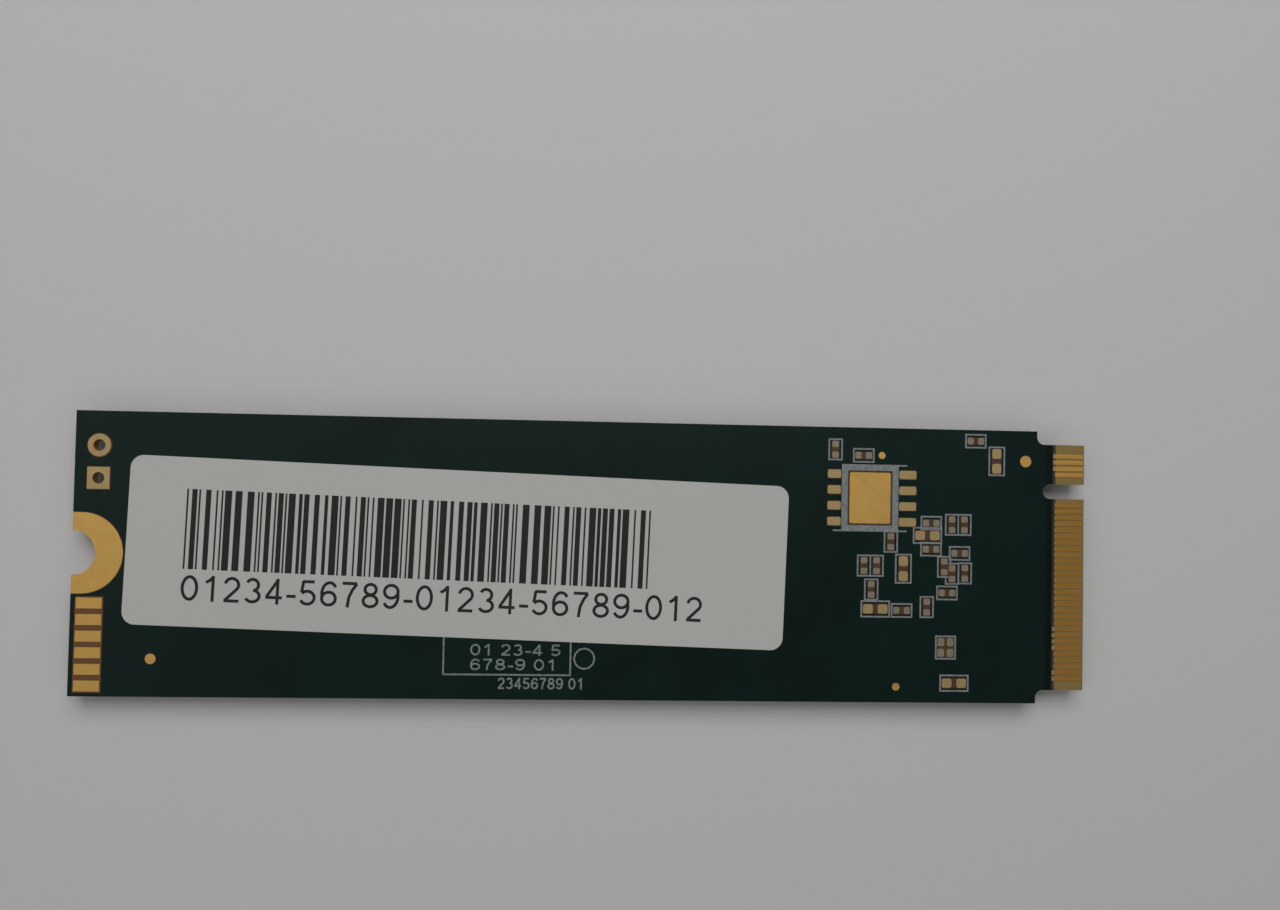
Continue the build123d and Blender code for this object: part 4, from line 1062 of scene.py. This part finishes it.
def add_fillet(work, terminal, along, looks):
    """Solder that has flowed onto a pad from a terminal's end: hollow where it climbs, thin at its rim."""
    low, high = terminal
    half = (high - low) / 2
    face = middle_of(terminal) + Vector((along.x * half.x, along.y * half.y, 0.0))
    across = Vector((abs(along.y), abs(along.x), 0.0))
    half_wide = across.dot(half) * FILLET_WIDTH
    rise = (MASK_UNDER - low.z) * looks.fillet_rise
    sides = []
    for shift in (-half_wide, half_wide):
        spots = [(face + along * (out * looks.fillet_spread) + across * shift, up) for out, up in FILLET]
        sides.append([work.verts.new((spot.x, spot.y, MASK_UNDER - up * rise)) for spot, up in spots])
    left, right = sides
    work.faces.new(left)
    work.faces.new(reversed(right))
    for i in range(len(FILLET)):
        j = (i + 1) % len(FILLET)
        work.faces.new((left[j], left[i], right[i], right[j]))


def by_distance(boxes, place):
    """Boxes in the order of how far their middles lie from the middle of one box, seen from above."""
    return sorted(boxes, key=lambda box: (middle_of(box) - middle_of(place)).xy.length)


def outward(terminal, bodies):
    """The direction along X or Y from the nearest body to a terminal."""
    offset = middle_of(terminal) - middle_of(by_distance(bodies, terminal)[0])
    if abs(offset.x) > abs(offset.y):
        return Vector((math.copysign(1.0, offset.x), 0.0, 0.0))
    return Vector((0.0, math.copysign(1.0, offset.y), 0.0))


def lies_across(body, ends):
    """Whether a component lies along Y, judged by its nearest end."""
    return outward(by_distance(ends, body)[0], [body]).x == 0.0


class SolderFillets(bpy.types.Operator):
    """Add the solder that climbs the end of each small component"""

    bl_idname = "drive.solder_fillets"
    bl_label = "Solder fillets"

    def execute(self, context):
        looks = context.scene.chip_looks
        for kind in ("small_capacitor", "large_capacitor", "resistor", "inductor"):
            bodies = islands(kind + "_bodies")
            work = bmesh.new()
            for terminal in islands(kind + "_terminals"):
                add_fillet(work, terminal, outward(terminal, bodies), looks)
            bmesh.ops.recalc_face_normals(work, faces=work.faces)
            add_work(kind + "_fillets", work, "solder", "solder")
        return {"FINISHED"}


def row_tree():
    """A part repeated along a straight row."""
    kinds = {"Part": "object", "Start": "vector", "Step": "vector", "Count": "count", "Turn": "size"}
    g = ModelGraph("row_of_parts", **kinds, Material="material")
    line = g.node(
        "GeometryNodeMeshLine",
        {"mode": "OFFSET"},
        {"Count": g.input("Count"), "Start Location": g.input("Start"), "Offset": g.input("Step")},
    )
    part = g.node("GeometryNodeObjectInfo", None, {"Object": g.input("Part")}, output="Geometry")
    placed = g.node(
        "GeometryNodeInstanceOnPoints",
        None,
        {"Points": line, "Instance": part, "Rotation": g.vector(0.0, 0.0, g.input("Turn"))},
    )
    return g.finish(placed)


def row_inputs(part, material, x, y, step_x, step_y, count, turned=False):
    """The inputs that repeat a part along one row, whose start and step are given in millimetres."""
    return {
        "Part": part,
        "Start": (x * MM, y * MM, 0.0),
        "Step": (step_x * MM, step_y * MM, 0.0),
        "Count": count,
        "Turn": math.pi / 2 if turned else 0.0,
        "Material": material,
    }


def add_rows(name, part_mesh, slot, finish, rows):
    """A piece that repeats one part along several rows."""
    part = bpy.data.objects.new(name + "_part", part_mesh)
    bpy.context.scene.collection.objects.link(part)
    tree = bpy.data.node_groups.get("row_of_parts") or row_tree()
    mesh = modelled(name, tree, [row_inputs(part, MATERIALS[finish], *row) for row in rows])
    bpy.data.objects.remove(part)
    add_piece(name, mesh, slot)


def halfway(first, second):
    """The middle between two places along X, in millimetres."""
    return (first + second) / 2 / MM


class SmallComponents(bpy.types.Operator):
    """Set out the rows of small capacitors and resistors round the packages"""

    bl_idname = "drive.small_components"
    bl_label = "Small components"

    SLOTS = {"small_capacitor": "capacitor_ceramic", "resistor": "resistor_ceramic"}
    BODY_EDGE = 0.03 * MM
    END_EDGE = 0.05 * MM

    # Printed outline of a component, along it and across it
    OUTLINE = (1.42 * MM, 0.86 * MM)

    def execute(self, context):
        rows = self.missing_rows()
        outlines = [row[1:] for row in rows]
        for kind, slot in self.SLOTS.items():
            body, ends = self.make_part(kind, context.scene.chip_looks)
            places = [row[1:] for row in rows if row[0] == kind]
            add_rows(kind + "_row_bodies", body, slot, slot, places)
            add_rows(kind + "_row_ends", ends, "solder", "solder", places)
            outlines += self.framed_places(kind)
        outline = self.make_outline(context.scene.print_looks)
        add_rows("part_outlines", outline, "board_print", "board_print", outlines)
        return {"FINISHED"}

    def make_part(self, kind, looks):
        """Body and ends of a component like the frame's first one, lengthwise along X about the middle."""
        body = islands(kind + "_bodies")[0]
        ends = by_distance(islands(kind + "_terminals"), body)[:2]
        across = lies_across(body, ends)
        middle = middle_of(body)
        middle.z = 0.0

        def laid(box):
            low, high = box[0] - middle, box[1] - middle
            return (low.yxz, high.yxz) if across else (low, high)

        body, *ends = [laid(box) for box in (body, *ends)]
        body_work = bmesh.new()
        add_block(body_work, *body)
        round_edges(body_work, self.BODY_EDGE)
        ends_work = bmesh.new()
        for end in ends:
            add_block(ends_work, *end)
        round_edges(ends_work, self.END_EDGE)
        for end in ends:
            add_fillet(ends_work, end, outward(end, [body]), looks)
        bmesh.ops.recalc_face_normals(ends_work, faces=ends_work.faces)
        return mesh_of(kind + "_body", body_work), mesh_of(kind + "_ends", ends_work)

    def make_outline(self, looks):
        """The printed outline round one component."""
        work = bmesh.new()
        add_frame(work, 0.0, 0.0, *self.OUTLINE, looks.line, MASK_UNDER - looks.thickness, MASK_UNDER)
        return mesh_of("part_outline", work)

    def framed_places(self, kind):
        """The frame's own components of a kind, each as a row of one."""
        ends = islands(kind + "_terminals")
        places = []
        for body in islands(kind + "_bodies"):
            middle = middle_of(body)
            places.append((middle.x / MM, middle.y / MM, 0.0, 0.0, 1, lies_across(body, ends)))
        return places

    def missing_rows(self):
        """Rows of the components that the frame leaves out, in millimetres.

        Each has its kind, the first one's middle, the step to the next, the count, and if they lie along Y.
        """
        flash_1, flash_2, buffer, controller = [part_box(package + "_carrier") for package in PACKAGES]
        between_flash = halfway(flash_2[1].x, flash_1[0].x)
        before_buffer = halfway(flash_1[1].x, buffer[0].x)
        before_controller = halfway(buffer[1].x, controller[0].x)
        left, right = controller[0].x / MM, controller[1].x / MM
        rows = []
        for low, high in (flash_1, flash_2):
            middle = halfway(low.x, high.x)
            for y in (-10.0, 10.0):
                for x in (middle - 4.4, middle + 2.2):
                    rows.append(("small_capacitor", x, y, 2.2, 0.0, 2, False))
        return rows + [
            ("small_capacitor", between_flash, -8.0, 0.0, 2.0, 9, True),
            ("resistor", before_buffer, -7.35, 0.0, 2.1, 8, True),
            ("small_capacitor", before_controller, -5.0, 0.0, 2.0, 6, True),
            ("resistor", left + 1.0, 9.0, 3.0, 0.0, 5, True),
            ("small_capacitor", left + 2.5, -9.0, 3.0, 0.0, 4, True),
            ("small_capacitor", right + 1.45, -5.2, 0.0, 1.3, 9, False),
            ("resistor", right + 3.55, -5.2, 0.0, 1.3, 3, False),
            ("resistor", 19.5, -8.9, 1.5, 0.0, 5, True),
            ("small_capacitor", 33.4, -9.5, 0.0, 1.3, 4, False),
            ("small_capacitor", 33.4, 6.9, 0.0, 1.3, 3, False),
            ("small_capacitor", 30.9, 6.9, 0.0, 1.3, 3, False),
        ]


class TracksUnderMask(bpy.types.Operator):
    """Show the tracks and vias that stand out under the solder mask of the chip side"""

    bl_idname = "drive.tracks_under_mask"
    bl_label = "Tracks and vias"

    TRACK = 0.13 * MM
    RAISED = 0.008 * MM
    VIA = 0.17 * MM
    VIA_SIDES = 12
    VIA_RAISED = 1.6 * RAISED

    # How far the tracks go on under the packages and stay back from the mask's end
    UNDER_PACKAGES = 1.0 * MM
    UNDER_CONTROLLER = 0.5 * MM
    SHORT_OF_CONTACTS = 0.4 * MM

    # Place of the pairs across the board at both ends, and along it where they bend: the first pair's and the
    # step to the next, in millimetres
    PAIRS = 6
    HALF_PAIR = 0.13 * MM
    NEAR = (-4.6, 0.9)
    FAR = (-8.9, 1.25)
    BEND = (25.0, 0.7)

    def execute(self, context):
        self.add_buses()
        self.add_pairs()
        self.add_vias()
        return {"FINISHED"}

    def add_buses(self):
        """Straight tracks that cross the gaps between packages, mostly hidden under them."""
        flash_1, flash_2, buffer, controller = [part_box(package + "_carrier") for package in PACKAGES]
        buses = (
            ("flash", flash_2, flash_1, -7.6, 0.45, 34),
            ("buffer", flash_1, buffer, -6.8, 0.40, 26),
            ("controller", buffer, controller, -4.8, 0.32, 31),
        )
        for name, before, after, y, step, count in buses:
            left, right = before[1].x, after[0].x
            reach = (right - left) / 2 + self.UNDER_PACKAGES
            work = bmesh.new()
            add_ribbon(work, [(-reach, 0.0), (reach, 0.0)], self.TRACK, MASK_UNDER - self.RAISED, MASK_UNDER)
            row = (halfway(left, right), y, 0.0, step, count)
            add_rows(name + "_bus", mesh_of(name + "_track", work), "solder_mask", "mask_over_copper", [row])

    def add_pairs(self):
        """Matched pairs of tracks from the controller to the edge contacts, bent at 45 degrees."""
        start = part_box("controller_carrier")[1].x - self.UNDER_CONTROLLER
        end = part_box("solder_mask_chip_side")[1].x - self.SHORT_OF_CONTACTS
        half_bend = math.tan(math.radians(45.0 / 2))
        work = bmesh.new()
        for i in range(self.PAIRS):
            near, far, bend = [(first + step * i) * MM for first, step in (self.NEAR, self.FAR, self.BEND)]
            for side in (-self.HALF_PAIR, self.HALF_PAIR):
                turn = bend - side * half_bend
                ahead = turn + abs(far - near)
                path = [(start, near + side), (turn, near + side), (ahead, far + side), (end, far + side)]
                add_ribbon(work, path, self.TRACK, MASK_UNDER - self.RAISED, MASK_UNDER)
        add_work("track_pairs", work, "solder_mask", "mask_over_copper")

    def add_vias(self):
        """Rows of vias round the packages: the first one's middle, step and count, in millimetres."""
        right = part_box("controller_carrier")[1].x / MM
        rows = (
            (right + 0.35, -6.4, 0.0, 0.9, 15),
            (right + 2.75, 1.2, 0.0, 0.8, 5),
            (24.6, -3.2, 0.75, 0.0, 7),
            (24.6, 3.9, 0.75, 0.0, 6),
            (29.45, -3.4, 0.0, 0.8, 12),
            (32.9, -5.0, 0.8, 0.0, 3),
            (-35.2, -8.6, 0.0, 1.1, 5),
            (-35.2, 4.4, 0.0, 1.1, 5),
            (-4.9, -6.4, 0.8, 0.0, 8),
            (-4.9, 6.4, 0.8, 0.0, 8),
            (35.2, -7.6, 0.0, 0.95, 15),
        )
        work = bmesh.new()
        outline = round_outline(0.0, 0.0, self.VIA, self.VIA_SIDES)
        add_prism(work, outline, MASK_UNDER - self.VIA_RAISED, MASK_UNDER)
        add_rows("vias", mesh_of("via", work), "solder_mask", "mask_over_copper", rows)


class PrintChipSide(bpy.types.Operator):
    """Print the outlines and corner marks of the packages on the chip side"""

    bl_idname = "drive.print_chip_side"
    bl_label = "Chip-side print"

    CLEAR = 0.18 * MM
    CORNER = 1.2 * MM
    NOTCH = 0.45 * MM

    # How far an outline stands off from each part, along the board and across it
    MARGINS = {
        "power_chip_body": (0.12 * MM, 0.12 * MM),
        "regulator_body": (0.75 * MM, 0.12 * MM),
        "crystal_base": (0.12 * MM, 0.12 * MM),
    }

    # Outline of an inductor, along the board and across it
    INDUCTOR = (2.75 * MM, 2.2 * MM)

    def execute(self, context):
        looks = context.scene.print_looks
        levels = (MASK_UNDER - looks.thickness, MASK_UNDER)
        work = bmesh.new()
        for package in PACKAGES:
            self.add_corners(work, *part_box(package + "_carrier"), looks.line, *levels)
        for node, (along, across) in self.MARGINS.items():
            low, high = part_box(node)
            size = (high.x - low.x + 2 * along, high.y - low.y + 2 * across)
            self.add_outline(work, (low, high), size, looks.line, *levels)
        for box in islands("inductor_bodies"):
            self.add_outline(work, box, self.INDUCTOR, looks.line, *levels)
        add_work("chip_side_print", work, "board_print", "board_print")
        return {"FINISHED"}

    def add_outline(self, work, box, size, line, low_z, high_z):
        """A rectangle of some size round the middle of a box."""
        middle = middle_of(box)
        add_frame(work, middle.x, middle.y, *size, line, low_z, high_z)

    def add_corners(self, work, low, high, line, low_z, high_z):
        """A bent line at each corner of a package, and a filled triangle by its first ball."""
        near, reach = self.CLEAR, self.CORNER
        for x, right in ((low.x - near, -1), (high.x + near, 1)):
            for y, up in ((low.y - near, -1), (high.y + near, 1)):
                path = [(x - right * reach, y), (x, y), (x, y - up * reach)]
                add_ribbon(work, path, line, low_z, high_z)
        x, y = low.x - near - line, high.y + near + line
        triangle = [(x, y), (x, y + self.NOTCH), (x - self.NOTCH, y)]
        add_prism(work, triangle, low_z, high_z)


class MarkPackages(bpy.types.Operator):
    """Mark plain digits across each package, and a dot by its first ball"""

    bl_idname = "drive.mark_packages"
    bl_label = "Package marks"

    # Shares of the digits' height: the dot's radius, the width of a stroke and the step between lines
    DOT = 0.4
    STROKE = 0.11
    LINE_STEP = 1.55
    DOT_SIDES = 24

    # Lines of digits on each package, their height, and how far in from the edges its dot is.
    # The controller has a moulded dimple instead of a dot.
    MARKS = {
        "flash_memory_1_body": (("01234567", "0123 45"), 0.8 * MM, 1.5 * MM),
        "flash_memory_2_body": (("01234567", "0123 45"), 0.8 * MM, 1.5 * MM),
        "buffer_memory_body": (("012345", "6789"), 0.65 * MM, 1.1 * MM),
        "controller_body": (("0123456789", "0123 4567", "890123"), 0.85 * MM, None),
        "power_chip_body": (("0123", "45"), 0.5 * MM, 0.45 * MM),
    }

    def execute(self, context):
        looks = context.scene.chip_looks
        for node, (lines, tall, inwards) in self.MARKS.items():
            low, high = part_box(node)
            middle = middle_of((low, high))
            top = low.z + looks.mark_depth
            work = bmesh.new()
            for i, words in enumerate(lines):
                wide = tall * (DIGIT_ADVANCE * len(words))
                x = middle.x + (i - (len(lines) - 1) / 2) * tall * self.LINE_STEP
                box = (-wide / 2, wide / 2, -tall / 2, tall / 2)
                start = len(work.verts)
                add_digits(work, words, box, self.STROKE, top, low.z)
                work.verts.ensure_lookup_table()
                # Turned to run across the board, and mirrored to be read from below
                for vertex in work.verts[start:]:
                    vertex.co.x, vertex.co.y = x - vertex.co.y, middle.y - vertex.co.x
            bmesh.ops.recalc_face_normals(work, faces=work.faces)
            if inwards:
                spot = round_outline(low.x + inwards, high.y - inwards, tall * self.DOT, self.DOT_SIDES)
                add_prism(work, spot, low.z, top)
            add_work(node.replace("_body", "_marks"), work, "moulding", "laser_mark")
        return {"FINISHED"}


class RoundComponents(bpy.types.Operator):
    """Round the edges of the packages, terminals and ceramic bodies"""

    bl_idname = "drive.round_components"
    bl_label = "Rounded components"

    STEPS = 2
    EDGES = {
        "flash_memory_1_body": 0.05 * MM,
        "flash_memory_2_body": 0.05 * MM,
        "buffer_memory_body": 0.05 * MM,
        "controller_body": 0.06 * MM,
        "power_chip_body": 0.05 * MM,
        "regulator_body": 0.05 * MM,
        "regulator_leads": 0.03 * MM,
        "crystal_lid": 0.05 * MM,
        "crystal_base": 0.02 * MM,
        "inductor_bodies": 0.08 * MM,
        "inductor_terminals": 0.06 * MM,
        "small_capacitor_bodies": 0.03 * MM,
        "small_capacitor_terminals": 0.05 * MM,
        "large_capacitor_bodies": 0.05 * MM,
        "large_capacitor_terminals": 0.07 * MM,
        "resistor_bodies": 0.02 * MM,
        "resistor_terminals": 0.03 * MM,
    }

    def execute(self, context):
        slots = {part["node"]: part["material_slot"] for part in frame["record"]["subparts"]}
        depth = context.scene.chip_looks.mark_depth
        for node, radius in self.EDGES.items():
            inset = depth if node in MarkPackages.MARKS else 0.0
            rounded(node, slots[node], radius, self.STEPS, inset)
        return {"FINISHED"}


# Floor, light and camera

class SetStage(bpy.types.Operator):
    """Lay the floor, hang the lights and set up the camera"""

    bl_idname = "drive.set_stage"
    bl_label = "Floor, light and camera"

    # Place and size of each light, in millimetres
    LIGHTS = {
        "window_light": ((4.0, 143.0, 216.0), (200.0, 165.0)),
        "left_light": ((-260.0, 10.0, 330.0), (160.0, 240.0)),
        "front_light": ((60.0, -240.0, 300.0), (300.0, 160.0)),
    }

    # Where the sky's strength starts and stops to change, by height, and its levels before and after
    ABOVE_WALLS = (0.1, 0.6, 0.25, 1.35)
    UNDER_CEILING = (0.75, 1.0, 1.0, 0.3)
    SKY_COLOUR = (1.0, 0.99, 0.97, 1.0)

    CLIP_START = 1.0 * MM

    def execute(self, context):
        looks = context.scene.stage_looks
        self.lay_floor(looks)
        for name, (place, size) in self.LIGHTS.items():
            self.hang_light(name, getattr(looks, name), place, size)
        self.make_sky(context.scene, looks.sky_strength)
        self.set_camera(context.scene, looks)
        context.scene.view_settings.view_transform = "Standard"
        return {"FINISHED"}

    def lay_floor(self, looks):
        """A plain square under the object."""
        half = looks.floor_size / 2
        work = bmesh.new()
        corners = [(-half, -half), (half, -half), (half, half), (-half, half)]
        work.faces.new([work.verts.new((x, y, 0.0)) for x, y in corners])
        floor = bpy.data.objects.new("floor", mesh_of("floor", work, "floor"))
        bpy.context.scene.collection.objects.link(floor)

    def hang_light(self, name, power, place, size):
        """An area light that faces the object, with its place and size in millimetres."""
        data = bpy.data.lights.new(name, "AREA")
        data.shape = "RECTANGLE"
        data.size, data.size_y = size[0] * MM, size[1] * MM
        data.energy = power
        light = bpy.data.objects.new(name, data)
        light.location = Vector(place) * MM
        light.rotation_euler = (-light.location).to_track_quat("-Z", "Y").to_euler()
        light.visible_camera = False
        bpy.context.scene.collection.objects.link(light)

    def make_sky(self, scene, strength):
        """Light from all round that is dimmer near the floor and straight overhead."""
        scene.world = bpy.data.worlds.new("room")
        scene.world.use_nodes = True
        g = Graph(scene.world.node_tree)
        g.tree.nodes.clear()
        direction = g.node("ShaderNodeTexCoord", output="Generated")
        height = g.node("ShaderNodeSeparateXYZ", None, {0: direction}, output="Z")
        power = self.step(g, height, *self.ABOVE_WALLS) * self.step(g, height, *self.UNDER_CEILING) * strength
        light = g.node("ShaderNodeBackground", None, {"Color": self.SKY_COLOUR, "Strength": power})
        g.node("ShaderNodeOutputWorld", None, {"Surface": light})

    def step(self, g, value, low, high, before, after):
        """A soft change from one level to another as the value rises."""
        sockets = {"Value": value, "From Min": low, "From Max": high, "To Min": before, "To Max": after}
        return g.node("ShaderNodeMapRange", {"interpolation_type": "SMOOTHSTEP"}, sockets)

    def set_camera(self, scene, looks):
        """The camera that took the photograph."""
        data = bpy.data.cameras.new("photo_camera")
        data.sensor_fit = "HORIZONTAL"
        data.sensor_width = SENSOR_WIDTH
        data.lens = SENSOR_WIDTH * looks.focal_pixels / PHOTO_WIDTH
        data.clip_start = self.CLIP_START
        camera = bpy.data.objects.new("photo_camera", data)
        camera.location = looks.camera_place
        camera.rotation_euler = Euler(looks.camera_turn)
        scene.collection.objects.link(camera)
        scene.camera = camera


# Steps in the order that they run, their settings and the panel

OPERATORS = (
    FinishAllNodes,
    PrintLabel,
    PrintBoard,
    RoundLabelSide,
    SolderBalls,
    SolderFillets,
    SmallComponents,
    RoundComponents,
    MarkPackages,
    TracksUnderMask,
    PrintChipSide,
    SetStage,
)
GROUPS = {
    "board_looks": BoardLooks,
    "label_looks": LabelLooks,
    "print_looks": PrintLooks,
    "chip_looks": ChipLooks,
    "stage_looks": StageLooks,
}


class DrivePanel(bpy.types.Panel):
    """Lists the steps that finish the drive, with their settings"""

    bl_idname = "VIEW3D_PT_drive"
    bl_label = "Card drive"
    bl_space_type = "VIEW_3D"
    bl_region_type = "UI"
    bl_category = "Drive"

    def draw(self, context):
        for operator in OPERATORS:
            self.layout.operator(operator.bl_idname)
        for name, group in GROUPS.items():
            box = self.layout.box()
            for setting in group.__annotations__:
                box.prop(getattr(context.scene, name), setting)


def register():
    """Add the settings, the operators and the panel."""
    for group in GROUPS.values():
        bpy.utils.register_class(group)
    for name, group in GROUPS.items():
        setattr(bpy.types.Scene, name, PointerProperty(type=group))
    for operator in OPERATORS:
        bpy.utils.register_class(operator)
    bpy.utils.register_class(DrivePanel)


def unregister():
    """Take the panel, the operators and the settings out again."""
    bpy.utils.unregister_class(DrivePanel)
    for operator in reversed(OPERATORS):
        bpy.utils.unregister_class(operator)
    for name in GROUPS:
        delattr(bpy.types.Scene, name)
    for group in reversed(GROUPS.values()):
        bpy.utils.unregister_class(group)


def run_operator(operator):
    """Run an operator by its name, and stop if it doesn't finish."""
    group, name = operator.bl_idname.split(".")
    outcome = getattr(getattr(bpy.ops, group), name)()
    if outcome != {"FINISHED"}:
        raise RuntimeError(f"{operator.bl_label} didn't finish")


def main():
    """Build the scene."""
    register()
    for operator in OPERATORS:
        run_operator(operator)


if __name__ == "__main__":
    main()
